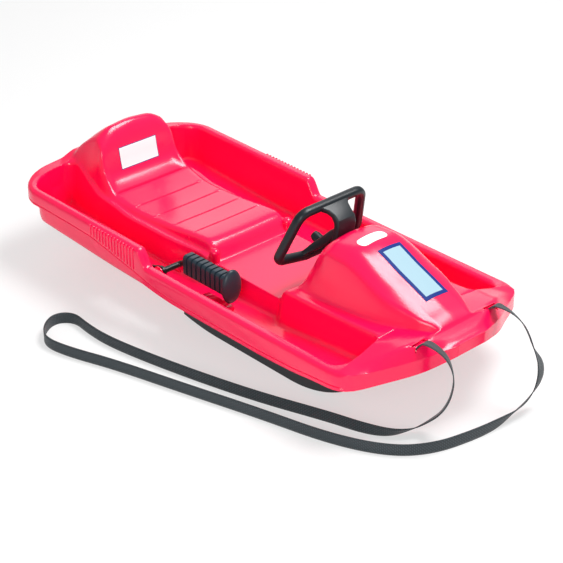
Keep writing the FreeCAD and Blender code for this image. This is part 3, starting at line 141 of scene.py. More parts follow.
# Cross sections of the moulded top: x, centre height, then (half width, height) of panel, crest and foot,
# then the height of the edge. A flank between foot and edge is never narrower than FLANK
FLANK = 4.0
TOP_SECTIONS = [
    (-581, 203, (54, 203), (76, 203), (90, 203), 198),
    (-547, 210, (59, 209), (90, 207), (104, 199), 193),
    (-530, 233, (59, 231), (90, 225), (106, 200), 194),
    (-509, 255, (59, 252), (90, 241), (108, 200), 194),
    (-483, 278, (59, 273), (90, 256), (110, 190), 184),
    (-462, 288, (60, 283), (91, 263), (112, 176), 170),
    (-451, 278, (66, 273), (93, 256), (112, 172), 166),
    (-438, 246, (80, 245), (98, 240), (113, 164), 158),
    (-426, 190, (86, 190), (100, 203), (114, 158), 152),
    (-407, 169, (89, 169), (104, 178), (115, 154), 150),
    (-381, 156, (97, 157), (107, 155), (113, 150), 149),
    (-311, 149, (96, 150), (105, 146), (110, 139), 139),
    (-199, 155, (94, 156), (103, 152), (109, 139), 139),
    (-92, 165, (92, 166), (101, 162), (107, 143), 143),
    (-76, 161.5, (91, 162), (100, 158.5), (106, 141), 141),
    (-64, 152, (88, 152), (98, 149), (105, 137), 137),
    (-52, 132, (78, 132), (92, 131.5), (103, 130), 130),
    (-46, 127, (70, 127), (89, 127), (102, 127), 127),
    (-31, 126, (60, 126), (85, 126), (100, 126), 126),
    (136, 122, (61, 122), (87, 122), (102, 122), 122),
    (178, 161, (40, 161), (76, 160), (92, 161), 161),
    (200, 226, (42, 221), (66, 209), (98, 163), 163),
    (220, 262, (50, 257), (72, 239), (98, 164), 164),
    (253, 282, (55, 277), (78, 258), (98, 166), 166),
    (291, 284, (56, 279), (80, 260), (99, 169), 169),
    (396, 246.6, (52, 242.5), (81, 227), (95, 177), 177),
    (476, 213, (46, 210), (62, 205), (70, 183), 183),
    (518, 195, (40, 194), (46, 192), (51, 186), 186),
    (524, 188, (51, 188), (72, 188), (85, 188), 184),
    (557, 176, (51, 176), (72, 176), (85, 176), 173),
    (581, 176, (51, 176), (72, 176), (85, 176), 173),
]

# Steering column
COLUMN_LEAN = math.radians(20)
COLUMN_START = Vector((145.5, 0.0, 222.0))
COLUMN_WAY = Vector((math.cos(COLUMN_LEAN), 0.0, -math.sin(COLUMN_LEAN)))

# Rim of the wheel seen along the column: its corners as (left, up), how far each is rounded, and the half
# width, half depth and corner of its section
WHEEL_CORNERS = [(0, 104), (83, 104), (112, -12), (26, -34), (-26, -34), (-112, -12), (-83, 104), (0, 104)]
WHEEL_TRIMS = (21, 18, 3, 3, 18, 21)
WHEEL_STEPS = (6, 8, 8, 6, 8, 8, 6)
WHEEL_SECTION = (9.2, 10, 8)

# Neck of the wheel in two stretches: height above the column, distance ahead of the rim, half width and
# half thickness
NECK_FRONT = ((104, 0, 48, 6), (103, 9, 36, 6), (102, 18, 28, 6), (100, 30, 24, 6.5), (94, 42, 24, 8),
              (84, 48, 24, 8), (64, 51, 24, 8), (49, 53, 24, 8))
NECK_BACK = ((76, 46, 23, 4), (60, 41, 24, 8), (30, 29, 24, 10), (6, 15, 26, 9), (-14, 5, 34, 6),
             (-28, 0, 46, 5))
NECK_CORNER = 3.5

# Openings in the hull: strap slots, shelf holes and the slot of the brake's claw, with the heights between
# which they are cut
SLOT_X = 519.0
SLOT_Y = 99.0
SLOT_HALF_X = 6.0
SLOT_HALF_Y = 17.0
HOLE_X = 36.0
HOLE_Y = 181.0
HOLE_RADIUS = 18.0
SLOT_CUT = (150.0, 200.0)
HOLE_CUT = (70.0, 120.0)
CLAW_SLOT = ((-255, -221, 60), (-71, -207, 100))

# Plain forms of the hull as boxes between two corners; those of a pair are given on the left
BELLY = ((-475, -136, 81), (-135, 136, 85))
BELLY_REAR = ((-475, -106, 81), (-471, 106, 186))
BELLY_FRONT = ((-139, -106, 81), (-135, 106, 154))
NOSE_PLATE = ((NOSE - 4.6, -TIP_HALF - 1, 149), (NOSE - 0.6, TIP_HALF + 1, 172))
KEEL = ((-475, 82, 0), (-135, 106, 84))
SHELF = ((-14, 157, 82), (68, 227, 97))
TOWER_FOOT = ((273, -62, 46), (337, 62, 53))
TOWER_SIDE = ((273, 58, 46), (337, 62, 205))
PAD_REAR = ((SLOT_X - 11, SLOT_Y - 24, 168), (SLOT_X - SLOT_HALF_X, SLOT_Y + 26, 183))
PAD_FRONT = ((SLOT_X + SLOT_HALF_X, SLOT_Y - 24, 168), (SLOT_X + 11, SLOT_Y + 9, 174))
STRAP_STOP = ((SLOT_X - 7, SLOT_Y - 19, 160), (SLOT_X + 7, SLOT_Y + 19, 168))
KEEL_BEVEL = 3.0
SHELF_BEVEL = 6.0
PLATE_BEVEL = 1.0
STOP_BEVEL = 3.6

# Web that carries the lower end of the column: its size, and its place along and above the column
WEB_SIZE = Vector((10, 90, 70))
WEB_AHEAD = 85.0
WEB_RISE = 8.0

# Round forms as radius, start and end
WHEEL_HUB = (11, COLUMN_START - COLUMN_WAY * 10, COLUMN_START + COLUMN_WAY * 41)
COLUMN_COLLAR = (19, COLUMN_START + COLUMN_WAY * 44, COLUMN_START + COLUMN_WAY * 70)
KINGPIN_COLLAR = (24, (305, 0, 31.8), (305, 0, 46.5))
BRAKE_BOSS = (12.5, (-95, -229, 130), (-95, -241, 130))

# Round nubs at the seat's front corners
NUB_X = -57
NUB_Y = 103
NUB_RADIUS = 11
NUB_FOOT = 112
NUB_TOP = 146

# Brake grip: its ends, the middle of its section, and half width and half height of core and ribs
GRIP_REAR = -68.0
GRIP_FRONT = 63.0
GRIP_MIDDLE = Vector((0, -165, 142))
GRIP_CORE = (12, 20)
GRIP_RIB = (15, 23)
GRIP_RIBS = 9
GRIP_RIB_SHARE = 0.66
GRIP_CORNER = 8
GUARD_HALF = (12, 24.8, 38)

# Height at which a label's film lies above the plastic
LABEL_LIFT = 0.6

# Route of the tow strap as (x, y, z, turn), where turn 1 shows the camera its edge: it drops from the left
# slot, lies on edge in a long loop on the floor and climbs to the right slot
STRAP_LYING = 12.6
STRAP_HALF = 12.5
STRAP_RISE = 26.0
STRAP_LEFT = [
    (519, 99, 168, 0.0), (519, 99, 194, 0.2), (562, 99, 197, 0.75), (597, 99, 187, 0.9),
    (615, 100, 168, 0.95), (627, 106, 132, 0.9), (634, 124, 92, 0.3), (632, 124, 54, 0.3),
    (628, 98, 24, 0.95), (629, 56, 13, 0.8), (631, 5, STRAP_LYING, 0.2),
]
STRAP_LOOP = [
    (626, -50), (606, -140), (556, -208), (450, -262), (297, -301), (129, -351), (-30, -396), (-130, -434),
    (-196, -447), (-238, -418), (-258, -376), (-232, -343), (-178, -350), (-110, -350), (0, -330),
    (130, -299), (260, -262), (395, -212), (470, -190),
]
STRAP_RIGHT = [
    (515, -164, STRAP_LYING, 0.4), (536, -128, 14, 0.85), (548, -104, 24, 0.95), (582, -99, 62, 0.95),
    (604, -99, 110, 0.95), (608, -99, 158, 0.9), (582, -99, 192, 0.6), (519, -99, 196, 0.3),
    (519, -99, 168, 0.0),
]
STRAP_ROUTE = STRAP_LEFT + [(x, y, STRAP_LYING, 0) for x, y in STRAP_LOOP] + STRAP_RIGHT
STRAP_COLUMNS = 4
# Direction from the sled to the camera
EYE_WAY = Vector((0.637, -0.592, 0.494))

# Studio in metres: size of the floor and the share of it that shines, strength of the world, and lamps as
# name, place, size and power
FLOOR_SIZE = 6.0
PAPER_GLOW = 0.55
WORLD_STRENGTH = 0.38
LAMPS = (
    ("key", (0.6, 0.9, 2.6), 1.3, 80),
    ("sweep", (-2.4, 2.2, 1.8), 2.4, 20),
    ("fill", (2.0, -2.8, 1.6), 1.4, 50),
)
LAMP_TARGET = Vector((0, 0, 0.1))


def srgb(code):
    """Linear colour of an sRGB hex value."""
    code = code.lstrip("#")
    channels = [int(code[i:i + 2], 16) / 255 for i in (0, 2, 4)]
    return [c / 12.92 if c <= 0.04045 else ((c + 0.055) / 1.055) ** 2.4 for c in channels]


def add_node(tree, kind, links=(), **settings):
    """Add one shader node; links are (input, source socket) pairs and settings name inputs or attributes."""
    node = tree.nodes.new(kind)
    for name, value in settings.items():
        if hasattr(node, name):
            setattr(node, name, value)
        else:
            node.inputs[name.replace("_", " ")].default_value = value
    for socket, source in links:
        tree.links.new(source, node.inputs[socket])
    return node


def new_material(name):
    """Add an empty material and give it with its node tree."""
    material = bpy.data.materials.new(name)
    material.use_nodes = True
    material.node_tree.nodes.clear()
    return material, material.node_tree


def finished(material, shader):
    """Link a shader to its material's output and give the material."""
    add_node(material.node_tree, "ShaderNodeOutputMaterial", [("Surface", shader.outputs[0])])
    return material


def hull_plastic(colour):
    """Moulded polyethylene: saturated colour, wide soft highlights, faint orange peel."""
    material, tree = new_material("moulded_polyethylene")
    place = add_node(tree, "ShaderNodeTexCoord").outputs["Object"]
    # Orange peel swells about 6 mm apart, and a finer 1.5 mm grain on the gloss
    peel = add_node(tree, "ShaderNodeTexNoise", [("Vector", place)], Scale=1 / (6 * MM), Detail=2.0)
    grain = add_node(tree, "ShaderNodeTexNoise", [("Vector", place)], Scale=1 / (1.5 * MM), Detail=2.0)
    bump = add_node(tree, "ShaderNodeBump", [("Height", peel.outputs["Fac"])], Strength=0.05,
                    Distance=0.4 * MM)
    rough = add_node(tree, "ShaderNodeMapRange", [("Value", grain.outputs["Fac"])], To_Min=0.17, To_Max=0.25)
    links = [("Normal", bump.outputs["Normal"]), ("Roughness", rough.outputs["Result"])]
    shader = add_node(tree, "ShaderNodeBsdfPrincipled", links, IOR=1.51, Base_Color=(*colour, 1))
    return finished(material, shader)


def dark_plastic(name, colour, grain_mm):
    """Moulded polypropylene and like dark finishes: satin, with a fine even grain."""
    material, tree = new_material(name)
    place = add_node(tree, "ShaderNodeTexCoord").outputs["Object"]
    grain = add_node(tree, "ShaderNodeTexNoise", [("Vector", place)], Scale=1 / (grain_mm * MM), Detail=3.0)
    bump = add_node(tree, "ShaderNodeBump", [("Height", grain.outputs["Fac"])], Strength=0.25,
                    Distance=0.3 * MM)
    rough = add_node(tree, "ShaderNodeMapRange", [("Value", grain.outputs["Fac"])], To_Min=0.28, To_Max=0.42)
    links = [("Normal", bump.outputs["Normal"]), ("Roughness", rough.outputs["Result"])]
    shader = add_node(tree, "ShaderNodeBsdfPrincipled", links, IOR=1.42, Base_Color=(*colour, 1))
    return finished(material, shader)


def black_steel():
    """Powder-coated steel rod: near black, low gloss, fine texture."""
    return dark_plastic("powder_coated_steel", srgb("#1A1A1C"), grain_mm=0.8)


def zinc_steel():
    """Zinc-plated steel: pale grey metal with cloudy, slightly uneven brightness."""
    material, tree = new_material("zinc_plated_steel")
    place = add_node(tree, "ShaderNodeTexCoord").outputs["Object"]
    # Clouds about 8 mm across
    cloud = add_node(tree, "ShaderNodeTexNoise", [("Vector", place)], Scale=1 / (8 * MM), Detail=4.0)
    rough = add_node(tree, "ShaderNodeMapRange", [("Value", cloud.outputs["Fac"])], To_Min=0.3, To_Max=0.5)
    shader = add_node(tree, "ShaderNodeBsdfPrincipled", [("Roughness", rough.outputs["Result"])],
                      Metallic=1.0, Base_Color=(*srgb("#A9ACAE"), 1))
    return finished(material, shader)


def nylon():
    """Moulded black nylon: dark, satin, slightly mottled."""
    material, tree = new_material("moulded_nylon")
    place = add_node(tree, "ShaderNodeTexCoord").outputs["Object"]
    # Mottles about 4 mm across
    mottle = add_node(tree, "ShaderNodeTexNoise", [("Vector", place)], Scale=1 / (4 * MM))
    tone = add_node(tree, "ShaderNodeMix", [("Factor", mottle.outputs["Fac"])], data_type="RGBA",
                    A=(*srgb("#26282B"), 1), B=(*srgb("#303236"), 1))
    shader = add_node(tree, "ShaderNodeBsdfPrincipled", [("Base Color", tone.outputs["Result"])],
                      Roughness=0.45)
    return finished(material, shader)


def webbing(colour_low, colour_high):
    """Woven polypropylene webbing: dark rows of yarn with a soft sheen on each."""
    material, tree = new_material("woven_webbing")
    place = add_node(tree, "ShaderNodeTexCoord").outputs["UV"]
    # Ribs about 4.5 mm apart cross yarn rows about 4 mm apart, drawn coarser than the real 1.2 mm so that
    # they show. A wave turns 20 radians per unit along X, and 10 along the sum of its axes
    ribs = add_node(tree, "ShaderNodeTexWave", [("Vector", place)], bands_direction="DIAGONAL",
                    Distortion=0.6, Detail=1.0, Scale=2 * math.pi / (10 * math.sqrt(2) * 4.464 * MM))
    rows = add_node(tree, "ShaderNodeTexWave", [("Vector", place)], bands_direction="X",
                    Scale=2 * math.pi / (20 * 3.946 * MM))
    weave = add_node(tree, "ShaderNodeMath", [(0, ribs.outputs["Fac"]), (1, rows.outputs["Fac"])],
                     operation="MULTIPLY")
    tone = add_node(tree, "ShaderNodeMix", [("Factor", weave.outputs[0])], data_type="RGBA",
                    A=(*colour_low, 1), B=(*colour_high, 1))
    bump = add_node(tree, "ShaderNodeBump", [("Height", weave.outputs[0])], Strength=0.5, Distance=0.5 * MM)
    links = [("Base Color", tone.outputs["Result"]), ("Normal", bump.outputs["Normal"])]
    shader = add_node(tree, "ShaderNodeBsdfPrincipled", links, Roughness=0.75, Sheen_Weight=0.15)
    return finished(material, shader)


def label_film(name, colour):
    """Plain vinyl film: smooth, with a faint unevenness in its gloss."""
    material, tree = new_material(name)
    place = add_node(tree, "ShaderNodeTexCoord").outputs["Object"]
    # Patches about 20 mm across
    cloud = add_node(tree, "ShaderNodeTexNoise", [("Vector", place)], Scale=1 / (20 * MM))
    rough = add_node(tree, "ShaderNodeMapRange", [("Value", cloud.outputs["Fac"])], To_Min=0.45, To_Max=0.55)
    shader = add_node(tree, "ShaderNodeBsdfPrincipled", [("Roughness", rough.outputs["Result"])], IOR=1.2,
                      Base_Color=(*colour, 1))
    return finished(material, shader)


def studio_paper():
    """White paper sweep: about half of it shines to the eye and in reflections, so its shadows stay pale."""
    material, tree = new_material("studio_paper")
    paper = add_node(tree, "ShaderNodeBsdfDiffuse", Color=(0.9, 0.9, 0.9, 1))
    glow = add_node(tree, "ShaderNodeEmission", Color=(1, 1, 1, 1), Strength=1.0)
    seen = add_node(tree, "ShaderNodeLightPath").outputs
    either = add_node(tree, "ShaderNodeMath", [(0, seen["Is Camera Ray"]), (1, seen["Is Glossy Ray"])],
                      operation="MAXIMUM")
    share = add_node(tree, "ShaderNodeMath", [(0, either.outputs[0])], operation="MULTIPLY")
    share.inputs[1].default_value = PAPER_GLOW
    links = [(0, share.outputs[0]), (1, paper.outputs[0]), (2, glow.outputs[0])]
    return finished(material, add_node(tree, "ShaderNodeMixShader", links))


def smooth_at(line, x):
    """Value at x on a line of (x, value) points, without overshoot between them."""
    if x <= line[0][0]:
        return line[0][1]
    if x >= line[-1][0]:
        return line[-1][1]
    i = max(k for k in range(len(line) - 1) if line[k][0] <= x)

    def slope(k):
        return (line[k + 1][1] - line[k][1]) / (line[k + 1][0] - line[k][0])

    def tangent(k):
        if k == 0 or k == len(line) - 1:
            return slope(min(k, len(line) - 2))
        before, after = slope(k - 1), slope(k)
        return 0 if before * after <= 0 else 2 * before * after / (before + after)

    width = line[i + 1][0] - line[i][0]
    t = (x - line[i][0]) / width
    rise = line[i + 1][1] - line[i][1]
    a, b = tangent(i) * width, tangent(i + 1) * width
    return line[i][1] + t * (a + t * (3 * rise - 2 * a - b + t * (a + b - 2 * rise)))


def rounded(points, trims, counts, corner=4):
    """Polyline with curved corners, sampled with a fixed number of steps per run and corner."""
    points = [Vector(p) for p in points]
    last = len(points) - 1
    starts, ends = {}, {}
    for i in range(1, last):
        back, ahead = points[i - 1] - points[i], points[i + 1] - points[i]
        trim = min(trims[i - 1], CORNER_SHARE * back.length, CORNER_SHARE * ahead.length)
        starts[i] = points[i] + (back.normalized() * trim if back.length else back)
        ends[i] = points[i] + (ahead.normalized() * trim if ahead.length else ahead)
    result = [points[0]]
    for i in range(last):
        a = points[0] if i == 0 else ends[i]
        b = points[last] if i == last - 1 else starts[i + 1]
        result += [a.lerp(b, k / counts[i]) for k in range(1, counts[i] + 1)]
        if i < last - 1:
            p, q, r = starts[i + 1], points[i + 1], ends[i + 1]
            for k in range(1, corner + 1):
                t = k / corner
                result.append(p * (1 - t) ** 2 + q * 2 * t * (1 - t) + r * t * t)
    return result


SECTION_LINES = {
    "centre": [(s[0], s[1]) for s in TOP_SECTIONS],
    "edge_z": [(s[0], s[5]) for s in TOP_SECTIONS],
}
for column, label in ((2, "panel"), (3, "crest"), (4, "foot")):
    SECTION_LINES[label + "_y"] = [(s[0], s[column][0]) for s in TOP_SECTIONS]
    SECTION_LINES[label + "_z"] = [(s[0], s[column][1]) for s in TOP_SECTIONS]


def top_features(x):
    """Half profile of the moulded top at x as (half width, height) points out to the rim."""
    def at(name):
        return smooth_at(SECTION_LINES[name], x)
    edge = smooth_at(EDGE_LINE, x)
    points = [(0, at("centre"))]
    for label in ("panel", "crest", "foot"):
        points.append((min(at(label + "_y"), edge - FLANK), at(label + "_z")))
    points.append((edge, at("edge_z")))
    points.append((BOW_HALF - RIM_WIDTH, smooth_at(RIM_LINE, x)))
    return points


def height_at(features, y):
    """Height of the moulded top at a half width, as it would be without the channels."""
    for (y0, z0), (y1, z1) in zip(features, features[1:]):
        if y <= y1:
            return z0 + (z1 - z0) * (y - y0) / max(y1 - y0, 1e-6)
    return features[-1][1]


def round_in(distance, radius):
    """How far a rounded plan corner draws in, at a distance from its end."""
    if distance >= radius:
        return 0.0
    away = radius - max(distance, 0)
    return radius - math.sqrt(max(radius * radius - away * away, 0))


def edge_distance(x, y, outline):
    """Distance in plan from a point to an outline."""
    spot = Vector((x, y, 0))
    nearest = math.inf
    for a, b in zip(outline, outline[1:]):
        foot, t = intersect_point_line(spot, a, b)
        foot = a if t < 0 else b if t > 1 else foot
        nearest = min(nearest, (spot - foot).length)
    return nearest


def hull_row(x, half, depth, drop, bow):
    """One cross section of the hull from the centre to the lip's lower edge, lowered to that edge by drop."""
    features = top_features(x)
    limit = half - RIM_WIDTH + 2
    share = (x - REAR) / (NOSE - REAR)
    from_end = min(x - CHANNEL_REAR, CHANNEL_FRONT - x)
    fade = min(max(1 + from_end / CHANNEL_FADE, 0), 1)
    floor = smooth_at(FLOOR_LINE, x)
    inner_round = CHANNEL_ROUND_REAR if x < 0 else CHANNEL_ROUND_FRONT
    edge = features[4][0] + round_in(from_end, inner_round) * fade
    # The moulded top is squeezed in where the outline is too narrow for it
    squeeze = min(1.0, (limit - 3) / (edge + 6))
    ys = [f[0] * squeeze for f in features[:4]] + [edge * squeeze]
    outer = min(CHANNEL_OUT_STERN + (CHANNEL_OUT_NOSE - CHANNEL_OUT_STERN) * share, limit)
    outer = max(outer - round_in(from_end, CHANNEL_ROUND_OUT) * fade, ys[4] + 2)
    third = (outer - ys[4]) / 3
    low_in = ys[4] + third + (CHANNEL_DRAFT_IN - third) * depth
    low_out = outer - third - (CHANNEL_DRAFT_OUT - third) * depth
    points = [(y, height_at(features, y)) for y in ys]
    for y in (low_in, low_out):
        z = height_at(features, y)
        points.append((y, z + depth * (floor - z)))
    points.append((outer, height_at(features, outer)))
    on_bow = x > CHANNEL_FRONT + 8
    rim = smooth_at(RIM_LINE, x) if on_bow else height_at(features, half)
    points.append((half, rim))
    lip = min(smooth_at(LIP_LINE, x), rim - 1)
    crease = min(lip + smooth_at(CREASE_GAP, x), rim - 3)
    inset = 0 if on_bow else CREASE_DEPTH
    points += [(half, crease + CREASE_HALF), (half - inset, crease), (half, crease - CREASE_HALF)]
    points.append((half, lip))
    crest_trim = SEAT_CREST_TRIM if SEAT_CREST[0] <= x <= SEAT_CREST[1] else CREST_TRIM
    rim_trim = 2 if on_bow else 10
    trims = (16, crest_trim, 6, 6, 12, 10, 9, rim_trim, 0.3, 0.3, 0.3)
    profile = rounded([(0, y, z) for y, z in points], trims, ROW_STEPS, CORNER_STEPS)
    # The panel is crowned up to its end
    middle = points[0][1]
    end = profile[ROW_STEPS[0]].copy()
    for p in profile[:ROW_STEPS[0]]:
        t = p.y / end.y
        p.z = middle + (end.z - middle) * t * t * (2 - t)
    if on_bow:
        to_rim = 1 + sum(ROW_STEPS[:RUNS_TO_RIM]) + (RUNS_TO_RIM - 1) * CORNER_STEPS
        for p in profile[:to_rim]:
            away = min(edge_distance(x, p.y, bow) / BOW_SLOPE, 1)
            reach = min(max(p.y - ys[3], 0) / 2, DECK_EASE)
            deck = sum(height_at(features, p.y + k * reach) for k in (-1, -0.5, 0, 0.5, 1)) / 5
            p.z = rim + (deck - rim) * (1 - (1 - away) ** 2)
    groove = min(GROOVES, key=lambda g: abs(x - g))
    cut = FOOT_GROOVE_DEPTH if groove == GROOVES[0] else GROOVE_DEPTH
    cut *= 1 - abs(x - groove) / GROOVE_HALF
    groove_end = ys[2] - GROOVE_MARGIN
    for p in profile:
        if cut > 0 and p.y < groove_end:
            p.z -= cut * min((groove_end - p.y) / GROOVE_RUNOUT, 1)
        p.x = x
        p.z += (lip - p.z) * drop
    return profile


def row_step(x):
    """Distance to the next row, finer where the top changes quickly."""
    on_seat_front = -138 < x < -20
    on_console_front = 120 < x < 262
    if on_seat_front or on_console_front:
        return FINE_STEP
    on_backrest = x < -380
    return BACKREST_STEP if on_backrest else PLAIN_STEP


def hull_rows():
    """Rows of the hull from stern to nose as (x, half width, channel depth, drop, bow outline)."""
    bow = rounded([(x, y, 0) for x, y in BOW_OUTLINE], BOW_TRIMS, BOW_STEPS, 5)
    # The stern's upright face is a few rows at one place, raised from the lip to the rim
    skirt = []
    for k in range(SKIRT_ROWS):
        half = STERN_HALF - STERN_RADIUS - SKIRT_STEP * (SKIRT_ROWS - k)
        skirt.append((REAR, half, 0, SKIRT_DROP * (1 - k / SKIRT_ROWS), bow))
    xs = [REAR + STERN_RADIUS * (1 - math.cos(math.radians(a))) for a in range(0, 91, 5)]
    while xs[-1] < CHANNEL_FRONT - 10:
        xs.append(xs[-1] + row_step(xs[-1]))
    xs += [p.x for p in bow if p.y > TIP_HALF]
    for g in GROOVES:
        xs = [x for x in xs if abs(x - g) > GROOVE_HALF + 0.5]
        xs += [g + k * GROOVE_HALF / 2 for k in (-2, -1, 0, 1, 2)]
    end_path = rounded([(x, 0, depth) for x, depth in CHANNEL_END], (3.5, 0.05, 0.4), (2, 4, 4, 2), 4)
    start, stop = CHANNEL_END[0][0] - 0.4, CHANNEL_END[-1][0] + 0.4
    ends = {}
    for end, way in ((CHANNEL_REAR, 1), (CHANNEL_FRONT, -1)):
        xs = [x for x in xs if not start < (x - end) * way < stop]
        for p in end_path:
            ends[end + way * p.x] = p.z
    body = []
    for x in sorted(set(xs) | set(ends)):
        inside = 1.0 if CHANNEL_REAR < x < CHANNEL_FRONT else 0.0
        body.append((x, plan_half(x, bow), ends.get(x, inside), 0, bow))
    return skirt + body


def plan_half(x, bow):
    """Half width of the rim at x."""
    if x < REAR + STERN_RADIUS:
        away = REAR + STERN_RADIUS - x
        return STERN_HALF - STERN_RADIUS + math.sqrt(max(STERN_RADIUS ** 2 - away ** 2, 0))
    if x < bow[0].x:
        return STERN_HALF + (bow[0].y - STERN_HALF) * (x - REAR) / (bow[0].x - REAR)
    for p, q in zip(bow, bow[1:]):
        if x <= q.x + 1e-6:
            t = (x - p.x) / max(q.x - p.x, 1e-6)
            return p.y + (q.y - p.y) * t
    return bow[-1].y


def shade(mesh, sharp_angle):
    """Shade a mesh smooth, with edges kept sharp past an angle in degrees."""
    for polygon in mesh.polygons:
        polygon.use_smooth = True
    mesh.set_sharp_from_angle(angle=math.radians(sharp_angle))


def mesh_object(name, bm, material, body, sharp_angle=40):
    """Make an object of a finished bmesh, smooth shaded, riding on a body."""
    mesh = bpy.data.meshes.new(name)
    bm.to_mesh(mesh)
    bm.free()
    shade(mesh, sharp_angle)
    piece = bpy.data.objects.new(name, mesh)
    bpy.context.scene.collection.objects.link(piece)
    mesh.materials.append(material)
    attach(piece, body)
    return piece


def finish_node(node, material):
    """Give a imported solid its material."""
    node.data.materials.clear()
    node.data.materials.append(material)


def laid_grid(bm, rows, columns):
    """Add a grid of faces and give its vertices as (row, column, vertex)."""
    made = bmesh.ops.create_grid(bm, x_segments=rows, y_segments=columns, size=0.5)["verts"]
    order = sorted(made, key=lambda v: (round(v.co.x, 6), round(v.co.y, 6)))
    return [(*divmod(i, columns + 1), vert) for i, vert in enumerate(order)]


def add_box(bm, corner, opposite, bevel=0.0):
    """Add a bevelled box between two opposite corners in millimetres."""
    corner, opposite = Vector(corner) * MM, Vector(opposite) * MM
    made = bmesh.ops.create_cube(bm, size=1.0)["verts"]
    bmesh.ops.scale(bm, vec=[abs(side) for side in opposite - corner], verts=made)
    bmesh.ops.translate(bm, vec=(corner + opposite) / 2, verts=made)
    if bevel:
        edges = list({e for v in made for e in v.link_edges})
        bmesh.ops.bevel(bm, geom=edges, offset=bevel * MM, affect="EDGES", segments=3, profile=0.5,
                        material=-1)


def add_pair(bm, corner, opposite, bevel=0.0):
    """Add a bevelled box and its mirror image on the other side of the sled."""
    for side in (-1, 1):
        first, second = [(x, side * y, z) for x, y, z in (corner, opposite)]
        add_box(bm, first, second, bevel)


def add_rod(bm, radius, start, end, segments=48):
    """Add a closed cylinder between two points in millimetres."""
    start, end = Vector(start) * MM, Vector(end) * MM
    turn = (end - start).to_track_quat("Z", "Y").to_matrix().to_4x4()
    bmesh.ops.create_cone(bm, cap_ends=True, segments=segments, radius1=radius * MM, radius2=radius * MM,
                          depth=(end - start).length, matrix=Matrix.Translation((start + end) / 2) @ turn)


def add_fin(bm, start, end, half_y, half_z):
    """Add an upright plate of the brake grip with rounded corners, between two places along it."""
    made = bmesh.ops.create_cube(bm, size=2.0)["verts"]
    bmesh.ops.scale(bm, vec=((end - start) / 2 * MM, half_y * MM, half_z * MM), verts=made)
    bmesh.ops.translate(bm, vec=(GRIP_MIDDLE + Vector(((start + end) / 2, 0, 0))) * MM, verts=made)
    along_x = [e for e in {e for v in made for e in v.link_edges}
               if abs(e.verts[0].co.x - e.verts[1].co.x) > 1e-6]
    bmesh.ops.bevel(bm, geom=along_x, offset=GRIP_CORNER * MM, affect="EDGES", segments=6, profile=0.5,
                    material=-1)


def boolean(piece, cutter_bm):
    """Cut a closed bmesh out of a piece."""
    mesh = bpy.data.meshes.new("cutter")
    cutter_bm.to_mesh(mesh)
    cutter_bm.free()
    cutter = bpy.data.objects.new("cutter", mesh)
    bpy.context.scene.collection.objects.link(cutter)
    modifier = piece.modifiers.new("cut", "BOOLEAN")
    modifier.operation = "DIFFERENCE"
    modifier.solver = "FAST"
    modifier.object = cutter
    bake(piece)
    bpy.data.objects.remove(cutter)
    bpy.data.meshes.remove(mesh)


def bake(piece):
    """Make a piece's modifiers part of its mesh."""
    graph = bpy.context.evaluated_depsgraph_get()
    made = bpy.data.meshes.new_from_object(piece.evaluated_get(graph))
    old = piece.data
    piece.modifiers.clear()
    piece.data = made
    bpy.data.meshes.remove(old)


def add_label(bm, surface, centre, size, way, border, corner):
    """Lay a thin film on the surface below a centre, seen along way, with an edging band or rounded ends."""
    rows, columns = 24, 16
    first, second = Vector((1, 0, 0)), Vector((0, 1, 0))
    if way.x:
        first, second = Vector((0, 1, 0)), Vector((0, 0, 1))

    def shares(count, band):
        inner = [band + (1 - 2 * band) * k / (count - 2) for k in range(count - 1)]
        return [0.0] + inner + [1.0] if band else [k / count for k in range(count + 1)]

    across = shares(rows, border / size[0])
    along = shares(columns, border / size[1])
    place = {}
    for row, column, vert in laid_grid(bm, rows, columns):
        place[vert] = (row, column)
        u = (across[row] - 0.5) * size[0]
        v = (along[column] - 0.5) * size[1]
        if corner:
            inset = max(abs(u) - (size[0] / 2 - corner), 0)
            v *= 1 - (corner - math.sqrt(max(corner ** 2 - inset ** 2, 0))) / (size[1] / 2)
        spot = (centre + first * u + second * v) * MM
        hit = surface.ray_cast(spot, way)[0]
        vert.co = hit - way * LABEL_LIFT * MM
    for face in bm.faces:
        spots = [place[vert] for vert in face.verts]
        if border and any(row in (0, rows) or column in (0, columns) for row, column in spots):
            face.material_index = 1
    bm.normal_update()
    if sum((f.normal for f in bm.faces), Vector()).dot(way) > 0:
        bmesh.ops.reverse_faces(bm, faces=bm.faces)


def add_sweep(bm, rings, closed=False):
    """Add a tube through rings of points in millimetres, closed on itself or capped at both ends."""
    rings = rings + rings[:1] if closed else rings
    across = len(rings[0])
    grid = laid_grid(bm, len(rings) - 1, across)
    for row, column, vert in grid:
        vert.co = rings[row][column % across] * MM
    bmesh.ops.remove_doubles(bm, verts=[vert for row, column, vert in grid], dist=1e-7)
    if not closed:
        bmesh.ops.holes_fill(bm, edges=[e for e in bm.edges if e.is_boundary], sides=0)
    bmesh.ops.recalc_face_normals(bm, faces=bm.faces)


def ring_points(middle, side, up, half_side, half_up, corner):
    """Outline of a rounded rectangle about a middle."""
    points = []
    for k in range(4):
        sign_side = 1 if k in (0, 3) else -1
        sign_up = 1 if k < 2 else -1
        for j in range(5):
            angle = math.radians(90 * k + 22.5 * j)
            along = sign_side * (half_side - corner) + corner * math.cos(angle)
            high = sign_up * (half_up - corner) + corner * math.sin(angle)
            points.append(middle + side * along + up * high)
    return points


